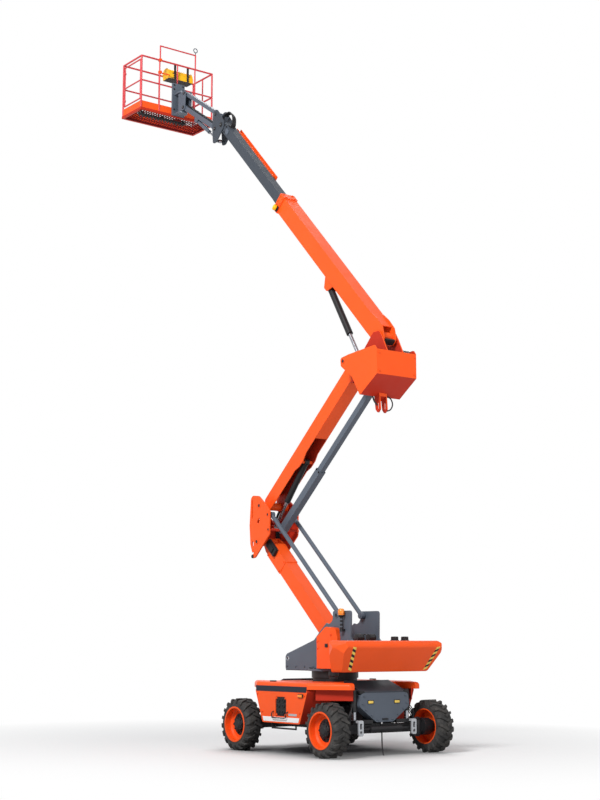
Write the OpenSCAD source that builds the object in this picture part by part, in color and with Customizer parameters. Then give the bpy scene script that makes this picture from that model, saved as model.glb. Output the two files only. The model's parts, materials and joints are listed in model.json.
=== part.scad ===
// Articulating boom lift, booms raised as in the photo. Millimetres, +X ahead, +Z up.

/* [Wheels] */
// tyre diameter over the lugs
tyre_d = 870; // [760:10:980]
// tyre width
tyre_w = 320; // [260:5:380]
// rim barrel diameter under the bead
rim_d = 580; // [480:5:640]
// lug height above the carcass
lug_h = 26; // [15:1:35]
// lugs in each of the two rows
lug_n = 18; // [12:1:22]
// wheel base
wheelbase = 2400; // [2200:10:2800]
// track between wheel centres
track = 2200; // [2000:10:2400]
// kingpin inboard of the wheel centre
king_in = 300; // [260:5:340]
// spindle radius in the wheel hub
spindle_r = 55; // [40:1:70]

/* [Chassis] */
// half width of the side pods
pod_half = 1150; // [1050:5:1200]
// pod half length at the top
pod_top = 740; // [600:5:780]
// pod half length at the bottom
pod_low = 520; // [420:5:560]
// underside of the pods
pod_z = 500; // [420:5:600]
// underside of the deck
deck_z = 1060; // [1000:5:1120]
// deck thickness
deck_h = 110; // [80:5:160]
// half length of the deck
deck_end = 1330; // [1280:5:1400]
// half width of the deck at its ends
deck_tip = 770; // [700:5:800]
// half width of the end covers
cover_half = 500; // [400:5:560]
// half width of the chassis frame
frame_half = 330; // [280:5:380]

/* [Turret] */
// slew ring radius
ring_r = 400; // [350:5:450]
// slew ring top
ring_z = 1340; // [1300:5:1380]
// inside of the turret side plates
plate_y = 285; // [260:5:310]
// thickness of the side plates
plate_t = 30; // [20:1:40]
// counterweight rear face
tail_x = 1620; // [1500:5:1680]
// counterweight half width
tail_half = 1080; // [1000:5:1120]
// counterweight top
tail_top = 1850; // [1750:5:1900]

/* [Booms] */
// lower boom pivot, ahead of the slew axis
lower_x = -100; // [-200:5:0]
// lower boom pivot height
lower_z = 1800; // [1750:5:1850]
// lower boom length between pivots
lower_len = 2690; // [2500:10:2900]
// lower boom angle at rest
lower_a = 42.9; // [40:0.1:46]
// lower and second boom depth
arm_d = 260; // [220:5:300]
// lower boom half width
lower_hw = 125; // [110:1:140]
// second boom half width
second_hw = 140; // [130:1:160]
// second boom length between pivots
second_len = 3458; // [3300:10:3600]
// second boom angle at rest
second_a = 138.75; // [136:0.05:141]
// main boom angle at rest
main_a = 46.5; // [44:0.1:49]
// main boom depth
main_d = 310; // [280:5:340]
// main boom half width
main_hw = 140; // [125:1:150]
// main boom tip from its pivot
main_len = 4230; // [4000:10:4400]
// fly boom side
fly_s = 190; // [170:1:200]
// fly head from the main pivot at rest
fly_reach = 7080; // [6800:10:7200]
// fly boom length
fly_len = 4380; // [4200:10:4500]
// jib length between pivots
jib_len = 1514; // [1400:2:1600]
// jib angle at rest
jib_a = 33.7; // [30:0.1:38]
// wall of the welded booms
wall = 10; // [8:1:14]

/* [Platform] */
// platform width across the machine
plat_w = 1800; // [1700:10:2000]
// platform depth
plat_d = 760; // [700:10:900]
// top rail height above the floor
rail_h = 1150; // [1100:10:1200]
// rail tube radius
tube_r = 19; // [16:0.5:24]

/* [Fits] */
// radial clearance of a pin in its bore
fit = 0.05; // [0.02:0.01:0.1]
// gap between seated pieces
seat = 0.3; // [0.2:0.05:0.5]
// side play of a moving piece
play = 6; // [5:0.5:10]
// main pin radius
pin_r = 35; // [25:1:45]

/* [Hidden] */
tyre_r = tyre_d / 2;
rim_r = rim_d / 2;
axle_x = wheelbase / 2;
wheel_y = track / 2;
king_y = wheel_y - king_in;
deck_top = deck_z + deck_h;
base_z = ring_z + seat;
base_h = 40;
lower_top = [lower_x + lower_len * cos(lower_a), lower_z + lower_len * sin(lower_a)];
lip_r = 55;
tie_x = 1375;
tie_y = 565;
tray_len = 1820;
shoulder = 70;
lug_side = 9;
skin = 28;
panel_half = 150;
arch_in = 150;
pod_in = 620;
notch_half = cover_half + 150;
rod_off = [-340, 470];
rod_foot = [lower_x, lower_z] + rod_off;
rod_top = lower_top + rod_off;
second_foot = lower_top + [-70, 650];
link_off = [-290, -450];
second_top = second_foot + second_len * [cos(second_a), sin(second_a)];
main_foot = second_top + [-600, 380];
main_dir = [cos(main_a), sin(main_a)];
main_nrm = [-sin(main_a), cos(main_a)];
main_lug = main_foot + 1850 * main_dir - 300 * main_nrm;
second_dir = [cos(second_a), sin(second_a)];
second_nrm = [sin(second_a), -cos(second_a)];
second_lug = second_foot + 1224 * second_dir - 100 * second_nrm;
second_eye = second_foot + [-35, -400];
lower_lug = [lower_x, lower_z] + 320 * [cos(lower_a - 127), sin(lower_a - 127)];
lower_base = [-1010, 1550];
fly_tip = main_foot + fly_reach * main_dir;
jib_foot = fly_tip + [230, -20];
jib_off = [-26, 299];
jib_dir = [cos(jib_a), sin(jib_a)];
jib_nrm = [-sin(jib_a), cos(jib_a)];
jib_top = jib_foot + jib_len * jib_dir;
jib_lug = jib_foot + 900 * jib_dir - 100 * jib_nrm;
jib_eye = jib_foot + [0, -240];
turn_x = jib_top[0] + 165;
floor_z = jib_top[1] - 60;
plat_x = turn_x + 210;
plat_end = plat_x + plat_d;
rail_z = floor_z + rail_h;
plat_hw = plat_w / 2 - tube_r;
gate_r = 15;
gate_x = plat_end - 2 * tube_r - 45;
gate_eye_z = [floor_z + 300, rail_z - 240];
lid_c = [plat_x + 185, rail_z - 215];
lid_r = 130;
lid_pin = lid_c + [lid_r + 14, -14];
knuckle_back = main_foot[0] - 300;
mid_x = (knuckle_back + plat_end) / 2;

$fn = 48;

module place() {
  translate([-mid_x, 0, 0]) children();
}

// angle brought into -180 to 180
function wrap(a) = a > 180 ? a - 360 : a < -180 ? a + 360 : a;

// points of the arc about c from a0 through da
function arc(c, r, a0, da, n = 6) = [for (i = [0:n]) c + r * [cos(a0 + da * i / n), sin(a0 + da * i / n)]];

// the corner at q between p and s, rounded as far as the sides allow
function corner(p, q, s, r) = let (
    u = (p - q) / norm(p - q),
    v = (s - q) / norm(s - q),
    half = acos(u * v) / 2,
    d = min(r / tan(half), 0.45 * norm(p - q), 0.45 * norm(s - q)),
    c = q + (u + v) / norm(u + v) * d / cos(half),
    a = q + u * d - c,
    b = q + v * d - c,
    a0 = atan2(a[1], a[0])
  ) arc(c, norm(a), a0, wrap(atan2(b[1], b[0]) - a0), 5);

// an outline with its corners rounded
function rounded(pts, r) = let (n = len(pts))
  [for (i = [0:n - 1]) each corner(pts[(i + n - 1) % n], pts[i], pts[(i + 1) % n], r)];

// plate in the X-Z plane from y0 to y1
module slab(pts, y0, y1, r = 0) {
  translate([0, y1, 0]) rotate([90, 0, 0]) linear_extrude(y1 - y0) polygon(r > 0 ? rounded(pts, r) : pts);
}

// both sides alike
module pair() {
  children();
  mirror([0, 1, 0]) children();
}

// round bar along Y at [x, z]
module bar(p, r, y0, y1) {
  translate([p[0], y0, p[1]]) rotate([-90, 0, 0]) cylinder(r = r, h = y1 - y0);
}

// round bar between two points
module rod(a, b, r) {
  d = b - a;
  l = norm(d);
  translate(a) rotate([0, acos(d[2] / l), atan2(d[1], d[0])]) cylinder(r = r, h = l);
}

// frame with local X along a direction in the X-Z plane
module along(p, a) {
  translate([p[0], 0, p[1]]) rotate([0, -a, 0]) children();
}

// box from corner to corner
module box(a, b) {
  translate(a) cube(b - a);
}

// square tube along local X
module tube(x0, x1, hw, d, t) {
  difference() {
    box([x0, -hw, -d / 2], [x1, hw, d / 2]);
    box([x0 - 1, -hw + t, -d / 2 + t], [x1 + 1, hw - t, d / 2 - t]);
  }
}

// wheel centre, axis out along local Z
module wheel_at(x, side) {
  translate([x, side * wheel_y, tyre_r]) rotate([-90 * side, 0, 0]) children();
}

module rim() {
  color([0.95, 0.36, 0.1]) rotate_extrude($fn = 96) polygon([[0, 70], [95, 70], [105, 60], [105, 24],
    [240, 24], [rim_r - 18, 50], [rim_r - 18, 158], [rim_r + 8, 158], [rim_r + 8, 150], [rim_r, 150],
    [rim_r, -150], [rim_r - 18, -150], [rim_r - 18, 30], [250, 8], [105, 8], [105, -60],
    [spindle_r + fit, -60], [spindle_r + fit, 40], [0, 40]]);
}

// one lug of a row, run out over the shoulder
module lug(row, i) {
  rotate([0, 0, (i + row / 2) * 360 / lug_n - 90])
    translate([tyre_r - lug_h - shoulder, 0, row == 0 ? 74 : -74])
      rotate([row == 0 ? 26 : -26, 0, 0])
        translate([0, -22, -92]) cube([lug_h + shoulder + 20, 44, 200]);
}

module tyre() {
  w = tyre_w / 2;
  c = w - lug_side;
  r = tyre_r - lug_h;
  color([0.09, 0.09, 0.1]) union() {
    rotate_extrude($fn = 96) polygon([[rim_r + seat, -150 + seat], [rim_r + 40, -c], [r - 60, -c],
      [r - 16, -c + 24], [r, -c + 66], [r, c - 66], [r - 16, c - 24], [r - 60, c], [rim_r + 40, c],
      [rim_r + 8 + seat, 152], [rim_r + 8 + seat, 150 - seat], [rim_r + seat, 150 - seat]]);
    intersection() {
      rotate_extrude($fn = 96) polygon([[r - shoulder, -c - 1], [r - shoulder + 20, -w], [r - 20, -w],
        [tyre_r, -w + 34], [tyre_r, w - 34], [r - 20, w], [r - shoulder + 20, w], [r - shoulder, c + 1],
        [r - shoulder, c - 1], [r - 17, c - 25], [r - 2, c - 66], [r - 2, -c + 66], [r - 17, -c + 25],
        [r - shoulder, -c + 1]]);
      union() {
        for (i = [0:lug_n - 1]) lug(0, i);
        for (i = [0:lug_n - 1]) lug(1, i);
      }
    }
  }
}

module axle_hub() {
  translate([0, 0, -240]) cylinder(r = 140, h = 170);
  translate([0, 0, -80]) cylinder(r = spindle_r, h = 118);
}

module chassis_frame() {
  color([0.12, 0.12, 0.13]) union() {
    difference() {
      box([-1120, -frame_half, 520], [1120, frame_half, 800]);
      box([-1100, -frame_half + 20, 540], [1100, frame_half - 20, 780]);
    }
    translate([0, 0, 799]) cylinder(r = ring_r - 20, h = ring_z - 115 - 799, $fn = 96);
    pair() {
      box([-420, frame_half - 1, 440], [420, 900, pod_z - seat]);
      box([-420, frame_half - 1, 440], [420, frame_half + 40, 620]);
      for (side = [-1, 1]) scale([side, 1, 1]) {
        box([1119, 250, 520], [1310, 330, 580]);
        box([1270, 250, 520], [1310, 620, 580]);
      }
    }
  }
}

// deck corner: round on plan and along its top edge
module deck_corner(x, y) {
  translate([x, y, deck_z]) cylinder(r = lip_r, h = deck_h - lip_r);
  translate([x, y, deck_top - lip_r]) sphere(r = lip_r);
}

// wall over a wheel, set in from the lip and clear of the tyre
module arch_wall() {
  d = [deck_end - pod_top - 60, pod_half - deck_tip];
  translate([pod_top + 12, pod_half - arch_in, 0]) rotate([0, 0, -atan2(d[1], d[0])])
    box([0, -14, tyre_d + 15], [norm(d) - 20, 0, deck_z + 20]);
}

module deck() {
  color([0.95, 0.36, 0.1]) union() {
    difference() {
      hull() for (x = [-1, 1], y = [-1, 1]) {
        deck_corner(x * (pod_top - lip_r), y * (pod_half - lip_r), $fn = 32);
        deck_corner(x * (deck_end - lip_r), y * (deck_tip - lip_r), $fn = 32);
      }
      for (a = [0, 180]) rotate([0, 0, a])
        box([830, -notch_half, deck_z - 1], [deck_end + 1, notch_half, deck_top + 1]);
      box([-700, -pod_half + 60, deck_z - 1], [700, pod_half - 60, deck_top - 14]);
      translate([0, 0, deck_z - 1]) cylinder(r = ring_r + 40, h = deck_h + 2, $fn = 96);
    }
    pair() {
      arch_wall();
      mirror([1, 0, 0]) arch_wall();
    }
  }
}

module pod() {
  color([0.95, 0.36, 0.1]) difference() {
    slab([[-pod_low, pod_z], [pod_low, pod_z], [pod_top, deck_z - seat], [-pod_top, deck_z - seat]],
      pod_in + seat, pod_half, 40);
    slab([[-pod_low + 14, pod_z + 12], [pod_low - 14, pod_z + 12], [pod_top - 22, deck_z - 12],
      [-pod_top + 22, deck_z - 12]], pod_in - 20, pod_half - skin, 30);
    slab([[-panel_half, 610], [panel_half, 610], [panel_half, 930], [-panel_half, 930]], pod_half - 16,
      pod_half + 1, 30);
    slab([[-pod_low + 30, 530], [pod_low - 30, 530], [pod_low - 10, 565], [-pod_low + 10, 565]], pod_half - 6,
      pod_half + 1, 12);
  }
}

module end_cover() {
  h = cover_half;
  color([0.36, 0.4, 0.46]) difference() {
    union() {
      translate([-1310, 0, 0]) rotate([90, 0, 90]) linear_extrude(190 - seat) polygon(rounded([[-h, 1010], [h, 1010],
        [h + 30, 790], [180, 540], [-180, 540], [-h - 30, 790]], 70));
      slab([[-1300, 1000], [-840, 1000], [-840, 1200], [-1300, 1030]], -h + 20, h - 20);
    }
    box([-1290, -h + 10, 810], [-1100, h - 10, 1000]);
  }
}

module power_packs() {
  color([0.2, 0.2, 0.22]) pair() box([-430, 680, pod_z + 12 + seat], [430, pod_half - skin - 20, 940]);
}

module step_rails() {
  color([0.1, 0.1, 0.1]) pair() {
    rod([-330, 1080, 412], [330, 1080, 412], 14);
    rod([-330, 1080, 398], [-330, 1080, pod_z - seat], 14);
    rod([330, 1080, 398], [330, 1080, pod_z - seat], 14);
  }
}

// hanging plate with a shackle hole and a slot above it
module tie_down() {
  difference() {
    translate([-tie_x - 15, 0, 0]) rotate([90, 0, 90]) linear_extrude(30)
      polygon(rounded([[tie_y - 50, 330], [tie_y + 50, 330], [tie_y + 50, 579], [tie_y - 50, 579]], 30));
    translate([-tie_x - 20, tie_y, 390]) rotate([0, 90, 0]) cylinder(r = 25, h = 40);
    box([-tie_x - 20, tie_y - 22, 440], [-tie_x + 20, tie_y + 22, 530]);
  }
  box([-tie_x + 14, tie_y - 45, 540], [-1310 - seat, tie_y + 45, 579]);
}

module tie_downs() {
  color([0.36, 0.4, 0.46]) {
    pair() tie_down();
    rotate([0, 0, 180]) pair() tie_down();
  }
}

module axle_front() {
  color([0.12, 0.12, 0.13]) union() {
    box([axle_x - 70, -wheel_y + 235, tyre_r - 70], [axle_x + 70, wheel_y - 235, tyre_r + 70]);
    box([axle_x - 180, -240, tyre_r + 69], [axle_x + 60, 240, 520 - seat]);
    wheel_at(axle_x, 1) axle_hub();
    wheel_at(axle_x, -1) axle_hub();
  }
}

module axle_rear() {
  y = king_y;
  color([0.12, 0.12, 0.13]) difference() {
    union() {
      box([-axle_x - 65, -y + 80, tyre_r - 70], [-axle_x + 65, y - 80, tyre_r + 70]);
      box([-axle_x - 60, -240, tyre_r + 69], [-axle_x + 180, 240, 520 - seat]);
      pair() {
        box([-axle_x - 50, y - 120, tyre_r - 150], [-axle_x + 50, y - 79, tyre_r + 150]);
        for (z = [-150, 118]) {
          box([-axle_x - 50, y - 100, tyre_r + z], [-axle_x + 50, y, tyre_r + z + 32]);
          translate([-axle_x, y, tyre_r + z]) cylinder(r = 50, h = 32);
        }
      }
      rod([-axle_x - 120, -330, tyre_r], [-axle_x - 120, 330, tyre_r], 45);
      rod([-axle_x - 120, -520, tyre_r], [-axle_x - 120, 520, tyre_r], 20);
      pair() box([-axle_x - 130, 250, tyre_r - 30], [-axle_x - 60, 290, tyre_r + 30]);
    }
    pair() translate([-axle_x, y, tyre_r - 200]) cylinder(r = 30 + fit, h = 400);
  }
}

module knuckle_steer() {
  color([0.36, 0.4, 0.46]) union() {
    translate([-axle_x, king_y, tyre_r - 112]) cylinder(r = 62, h = 224);
    translate([-axle_x, king_y, tyre_r - 158]) cylinder(r = 30, h = 316);
    box([-axle_x - 55, king_y, tyre_r - 80], [-axle_x + 55, king_y + 75, tyre_r + 80]);
    wheel_at(-axle_x, 1) axle_hub();
  }
}

module slew_ring() {
  color([0.1, 0.1, 0.1]) difference() {
    translate([0, 0, ring_z - 115 + seat]) cylinder(r = ring_r, h = 115 - seat, $fn = 96);
    translate([0, 0, ring_z - 116]) cylinder(r = 150 + fit, h = 120, $fn = 96);
  }
}

// side plate with a tower for the levelling rod and a hollow ahead of it
module turret_plate() {
  t = rod_foot;
  difference() {
    slab([[1000, ring_z + 10], [1000, 1580], [960, 1625], [180, 1860], [30, 1990], [-120, 2110], t + [95, 0],
      t + [95, 75], [t[0] - 390, t[1] + 75], [-820, 1880], [-1120, 1700], [-1120, ring_z + 10]], plate_y,
      plate_y + plate_t, 45);
    bar(t + [215, -20], 120, plate_y - 1, plate_y + plate_t + 1);
  }
}

module turret() {
  color([0.36, 0.4, 0.46]) difference() {
    union() {
      translate([0, 0, base_z]) cylinder(r = ring_r + 60, h = base_h, $fn = 96);
      translate([0, 0, ring_z - 60]) cylinder(r = 150, h = 62, $fn = 96);
      box([-1120, -plate_y - 20, base_z], [1000, plate_y + 20, base_z + base_h]);
      pair() turret_plate();
      box([-1120, -plate_y - 1, base_z], [-1090, plate_y + 1, 1700]);
      box([840, -plate_y - 1, base_z], [860, plate_y + 1, 1520]);
      bar([lower_x, lower_z], pin_r, -plate_y - 1, plate_y + 1);
      pair() bar(rod_foot, 25, 190, plate_y + 1);
      bar(lower_base, 30, -67, 67);
      pair() slab([[-1091, base_z], [-930, base_z], lower_base + [60, 0], lower_base + [30, 60],
        lower_base + [-81, 60]], 66, 86, 25);
    }
    pair() bar([930, 1540], 25, plate_y - 5, plate_y + plate_t + 5);
  }
}

module counterweight() {
  h = tail_half;
  t = tail_x;
  inner = -1120 - seat;
  color([0.95, 0.36, 0.1]) difference() {
    intersection() {
      translate([0, 0, ring_z + 5]) linear_extrude(tail_top - ring_z - 5) polygon(rounded([[-t, -h + 60],
        [-t, h - 60], [-t + 300, h], [inner - 20, h - 60], [-900, 700], [-900, -700], [inner - 20, -h + 60],
        [-t + 300, -h]], 70));
      slab([[-t, tail_top - 90], [-t + 70, tail_top], [-800, tail_top], [-800, ring_z], [-t + 290, ring_z]],
        -h, h, 60);
      translate([-t, 0, 0]) rotate([90, 0, 90]) linear_extrude(t) polygon(rounded([[h, tail_top - 90],
        [h - 110, tail_top], [-h + 110, tail_top], [-h, tail_top - 90], [-h + 170, ring_z],
        [h - 170, ring_z]], 60));
    }
    box([inner, -plate_y - plate_t - 40, ring_z - 1], [-400, plate_y + plate_t + 40, tail_top + 1]);
  }
}

// column beside each plate, bevelled low down
module turret_covers() {
  y = plate_y + plate_t + seat;
  z = base_z + base_h + 5;
  color([0.95, 0.36, 0.1]) pair() difference() {
    slab([[-60, z], [-10, 1860], [-330, 2080], [-520, 2060], [-545, 1900], [-545, z]], y, y + 150, 50);
    translate([-600, y + 150, z + 330]) rotate([28, 0, 0]) box([0, 0, -500], [600, 300, 0]);
    translate([-545, y + 150, 0]) rotate([0, 0, 45]) box([-60, -60, z], [60, 60, 2200]);
    translate([-25, y + 150, 0]) rotate([0, 0, 45]) box([-45, -45, z], [45, 45, 2200]);
  }
}

module beacon() {
  y = plate_y + plate_t + 62;
  color([1, 0.55, 0.1]) translate([-650, y, 2000]) union() {
    box([-30, -62 + seat, 0], [30, 0, 40]);
    rotate_extrude() polygon(concat([[0, 0], [30, 0], [30, 20], [24, 30], [24, 235], [44, 245], [52, 258],
      [52, 272], [56, 272]], arc([6, 335], 50, 0, 90), [[0, 385]]));
  }
}

module lower_barrel() {
  a = atan2(lower_lug[1] - lower_base[1], lower_lug[0] - lower_base[0]);
  color([0.1, 0.1, 0.1]) along(lower_base, a) difference() {
    union() {
      rotate([0, 90, 0]) translate([0, 0, 40]) cylinder(r = 65, h = 610);
      bar([0, 0], 60, -60, 60);
    }
    bar([0, 0], 30 + seat, -100, 100);
    rotate([0, 90, 0]) translate([0, 0, 90]) cylinder(r = 35 + fit, h = 600);
  }
}

module lower_rod() {
  a = atan2(lower_lug[1] - lower_base[1], lower_lug[0] - lower_base[0]);
  l = norm(lower_lug - lower_base);
  color([0.75, 0.77, 0.8]) along(lower_base, a) difference() {
    union() {
      rotate([0, 90, 0]) translate([0, 0, l - 630]) cylinder(r = 35, h = 590);
      bar([l, 0], 52, -40, 40);
    }
    bar([l, 0], 30, -60, 60);
  }
}

module lower_boom() {
  color([0.95, 0.36, 0.1]) difference() {
    union() {
      along([lower_x, lower_z], lower_a) {
        tube(150, lower_len - 190, lower_hw, arm_d, wall);
        pair() slab([[-60, -90], [60, -130], [260, -129], [260, 129], [60, 130], [-60, 90]],
          lower_hw - 30, lower_hw, 60);
        pair() slab([[lower_len - 260, -129], [lower_len - 120, -129], [lower_len + 60, -60],
          [lower_len + 60, 60], [lower_len - 120, 129], [lower_len - 260, 129]], lower_hw - 30, lower_hw, 60);
        tube(lower_len - 720, lower_len - 200, lower_hw + 9, arm_d + 22, 13);
        bar([0, 0], 80, -lower_hw - 150, lower_hw + 150);
        bar([lower_len, 0], 75, -lower_hw - 45, lower_hw + 45);
        rotate([0, 127, 0]) pair() slab([[0, -60], [370, -50], [370, 50], [0, 60]], 50, 90, 40);
        rotate([0, 127, 0]) pair() bar([320, 0], 29, 45, 90);
      }
    }
    bar([lower_x, lower_z], pin_r + fit, -400, 400);
    bar(lower_top, pin_r + fit, -400, 400);
  }
}

module level_rods() {
  color([0.36, 0.4, 0.46]) pair() difference() {
    union() {
      along(rod_foot, lower_a) translate([40, 235, 0]) rotate([0, 90, 0]) cylinder(r = 38, h = lower_len - 80);
      bar(rod_foot, 55, 197, 273);
      bar(rod_top, 55, 197, 273);
    }
    bar(rod_foot, 25 + fit, 150, 300);
    bar(rod_top, 25 + fit, 150, 300);
  }
}

module knee() {
  p = lower_top;
  color([0.95, 0.36, 0.1]) union() {
    pair() difference() {
      slab([p + [-400, 560], p + [-60, 830], p + [130, 850], p + [190, 800], p + [230, 300],
        p + [200, -40], p + [100, -300], p + [40, -280], p + [-330, 60], p + [-390, 110]], 305, 330, 75);
      bar(p + [120, -200], 24, 300, 340);
      slab([p + [128, 430], p + [162, 430], p + [162, 770], p + [128, 770]], 300, 340, 16);
      slab([p + [-120, 480], p + [20, 340], p + [-60, 330]], 300, 340, 20);
      slab([p + [100, -80], p + [150, -80], p + [150, 10], p + [100, 10]], 300, 340, 24);
    }
    bar(p, pin_r, -306, 306);
    pair() bar(rod_top, 25, 190, 306);
    bar(second_foot, pin_r, -306, 306);
    bar(second_foot + link_off, 25, -306, 306);
    pair() bar(second_eye, 25, 46, 90);
    pair() slab([second_eye + [-60, -50], second_eye + [60, -50], second_eye + [290, 80],
      second_eye + [290, 260], second_eye + [50, 55], second_eye + [-50, 50]], 50, 80, 35);
    box([p[0] + 150, -306, p[1] + 60], [p[0] + 180, 306, p[1] + 420]);
  }
}

module second_boom() {
  color([0.95, 0.36, 0.1]) difference() {
    union() {
      along(second_foot, second_a) {
        pair() slab([[-90, -70], [30, -150], [second_len - 60, -150], [second_len + 80, -60],
          [second_len + 80, 50], [second_len - 40, 110], [1440, 110], [1300, 152], [1150, 152], [1010, 110],
          [60, 110], [-90, 50]], second_hw - 14, second_hw, 70);
        box([150, -second_hw + 13, -150], [1900, second_hw - 13, -136]);
        box([1800, -second_hw + 13, 96], [second_len - 350, second_hw - 13, 110]);
        bar([0, 0], 75, -second_hw - 150, second_hw + 150);
        pair() bar([second_len, 0], 80, second_hw - 40, second_hw + 14);
        bar([1224, 100], 30, -second_hw + 13, second_hw - 13);
      }
    }
    bar(second_foot, pin_r + fit, -400, 400);
    bar(second_top, pin_r + fit, -400, 400);
  }
}

module second_link() {
  q = second_foot + link_off;
  color([0.36, 0.4, 0.46]) difference() {
    along(q, second_a) {
      tube(60, 1500, 65, 130, 8);
      tube(1480, second_len - 50, 50, 105, 8);
      bar([0, 0], 62, -65, 65);
      box([0, -65, -60], [80, 65, 60]);
      box([1470, -65, -65], [1500, 65, 65]);
      bar([second_len, 0], 55, -50, 50);
      box([second_len - 80, -50, -52], [second_len, 50, 52]);
    }
    bar(q, 25 + fit, -100, 100);
    bar(second_top + link_off, 25 + fit, -100, 100);
  }
}

module second_barrel() {
  d = second_eye - second_lug;
  color([0.1, 0.1, 0.1]) along(second_lug, atan2(d[1], d[0])) difference() {
    union() {
      rotate([0, 90, 0]) translate([0, 0, 30]) cylinder(r = 55, h = 850);
      bar([0, 0], 50, -50, 50);
    }
    bar([0, 0], 30 + fit, -100, 100);
    rotate([0, 90, 0]) translate([0, 0, 80]) cylinder(r = 30 + fit, h = 900);
  }
}

module second_rod() {
  d = second_eye - second_lug;
  l = norm(d);
  color([0.75, 0.77, 0.8]) along(second_lug, atan2(d[1], d[0])) difference() {
    union() {
      rotate([0, 90, 0]) translate([0, 0, l - 1050]) cylinder(r = 30, h = 1010);
      bar([l, 0], 48, -40, 40);
    }
    bar([l, 0], 27, -60, 60);
  }
}

module knuckle() {
  q = second_top;
  m = main_foot;
  color([0.95, 0.36, 0.1]) union() {
    pair() {
      slab([q + [70, 60], q + [-150, 95], m + [-250, -230], [knuckle_back, m[1] - 300],
        [knuckle_back, m[1] - 720], q + [-460, -640], q + [-260, -320], q + [60, -80]], 420, 435, 45);
      slab([q + [100, 70], q + [-200, 130], m + [90, 70], m + [-70, 70], m + [-150, -60],
        [knuckle_back + 20, m[1] - 320], [knuckle_back + 20, m[1] - 720], q + [-460, -640],
        q + [-360, -540], q + [-230, -480], q + [80, -90]], 160, 185, 50);
      box([knuckle_back + 10, 184, m[1] - 700], [knuckle_back + 40, 421, m[1] - 320]);
      bar(q, pin_r, 96, 421);
      slab([q + [-250, -280], q + [-220, -300], q + [-425, -632], q + [-465, -620]], 184, 421);
    }
    box([knuckle_back, -435, m[1] - 720], [knuckle_back + 14, 435, m[1] - 300]);
    slab([[knuckle_back, m[1] - 720], [knuckle_back, m[1] - 700], q + [-450, -600], q + [-460, -640]],
      -435, 435);
    bar(m, pin_r, -161, 161);
    bar(q + link_off, 25, -161, 161);
    pair() difference() {
      slab([q + [-400, -600], q + [-540, -600], q + [-560, -860], q + [-500, -930], q + [-440, -860]], 60, 85,
        30);
      slab([q + [-520, -860], q + [-485, -860], q + [-485, -740], q + [-520, -740]], 50, 95, 16);
    }
    slab([q + [-410, -600], q + [-540, -560], q + [-540, -640], q + [-430, -700]], -85, 85);
  }
}

module main_boom() {
  slide = fly_s / 2 + 1;
  color([0.95, 0.36, 0.1]) difference() {
    union() {
      along(main_foot, main_a) {
        tube(300, main_len, main_hw, main_d, wall);
        pair() slab([[-150, -60], [-60, -150], [500, -155], [500, 155], [260, 185], [40, 175], [-150, 60]],
          main_hw - 20, main_hw, 70);
        box([100, -main_hw + 19, 140], [300, main_hw - 19, 155]);
        bar([0, 0], 80, -main_hw - 12, main_hw + 12);
        difference() {
          box([main_len - 160, -main_hw - 18, -main_d / 2 - 18], [main_len, main_hw + 18, main_d / 2 + 18]);
          box([main_len - 170, -main_hw, -main_d / 2], [main_len + 10, main_hw, main_d / 2]);
        }
        pair() slab([[1700, -main_d / 2 + 1], [1800, -350], [1900, -350], [2050, -main_d / 2 + 1]], 66, 90, 30);
        bar([1850, -300], 30, -67, 67);
        difference() {
          box([main_len - 90, -main_hw + 9, -main_d / 2 + 9], [main_len - 10, main_hw - 9, main_d / 2 - 9]);
          box([main_len - 95, -slide, -slide], [main_len, slide, slide]);
        }
      }
    }
    bar(main_foot, pin_r + fit, -400, 400);
  }
}

module main_barrel() {
  d = second_top - main_lug;
  color([0.1, 0.1, 0.1]) along(main_lug, atan2(d[1], d[0])) difference() {
    union() {
      rotate([0, 90, 0]) translate([0, 0, 30]) cylinder(r = 60, h = 1050);
      bar([0, 0], 52, -50, 50);
    }
    bar([0, 0], 30 + fit, -100, 100);
    rotate([0, 90, 0]) translate([0, 0, 80]) cylinder(r = 34 + fit, h = 1100);
  }
}

module main_rod() {
  d = second_top - main_lug;
  l = norm(d);
  color([0.75, 0.77, 0.8]) along(main_lug, atan2(d[1], d[0])) difference() {
    union() {
      rotate([0, 90, 0]) translate([0, 0, l - 1150]) cylinder(r = 34, h = 1100);
      bar([l, 0], 55, -45, 45);
    }
    bar([l, 0], 30, -60, 60);
  }
}

module fly_boom() {
  s = fly_s / 2;
  color([0.33, 0.36, 0.41]) along(main_foot, main_a) difference() {
    union() {
      tube(fly_reach - fly_len, fly_reach - 180, s, fly_s, 8);
      box([fly_reach - 200, -s, -s], [fly_reach - 60, s, s]);
      bar([fly_reach, 0], 80, -s, s);
      box([fly_reach - 80, -s, -70], [fly_reach, s, 70]);
      box([fly_reach - 250, -s - 90, -30], [fly_reach - 150, -s + 1, 30]);
    }
    bar([fly_reach, 0], pin_r + fit, -200, 200);
  }
}

module hose_tray() {
  s = fly_s / 2;
  x1 = fly_reach - 130;
  color([0.95, 0.36, 0.1]) along(main_foot, main_a) difference() {
    box([x1 - tray_len, -s - 190, -60], [x1, -s - 90 - seat, 60]);
    box([x1 - tray_len - 10, -s - 182, -52], [x1 + 10, -s - 98, 100]);
  }
}

// chain along the tray and round its loop below the tray's end
module cable_chain() {
  y0 = -fly_s / 2 - 175;
  x0 = fly_reach - 730 - tray_len;
  color([0.08, 0.08, 0.08]) along(main_foot, main_a) translate([0, 0, seat - 12]) {
    box([x0, y0, -40], [x0 + 1600, y0 + 70, 0]);
    translate([x0, y0, -140]) rotate([-90, 0, 0]) difference() {
      cylinder(r = 140, h = 70);
      translate([0, 0, -1]) cylinder(r = 100, h = 72);
      translate([0, -200, -1]) cube([400, 400, 80]);
    }
    box([x0, y0, -280], [x0 + 300, y0 + 70, -240]);
  }
}

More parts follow.
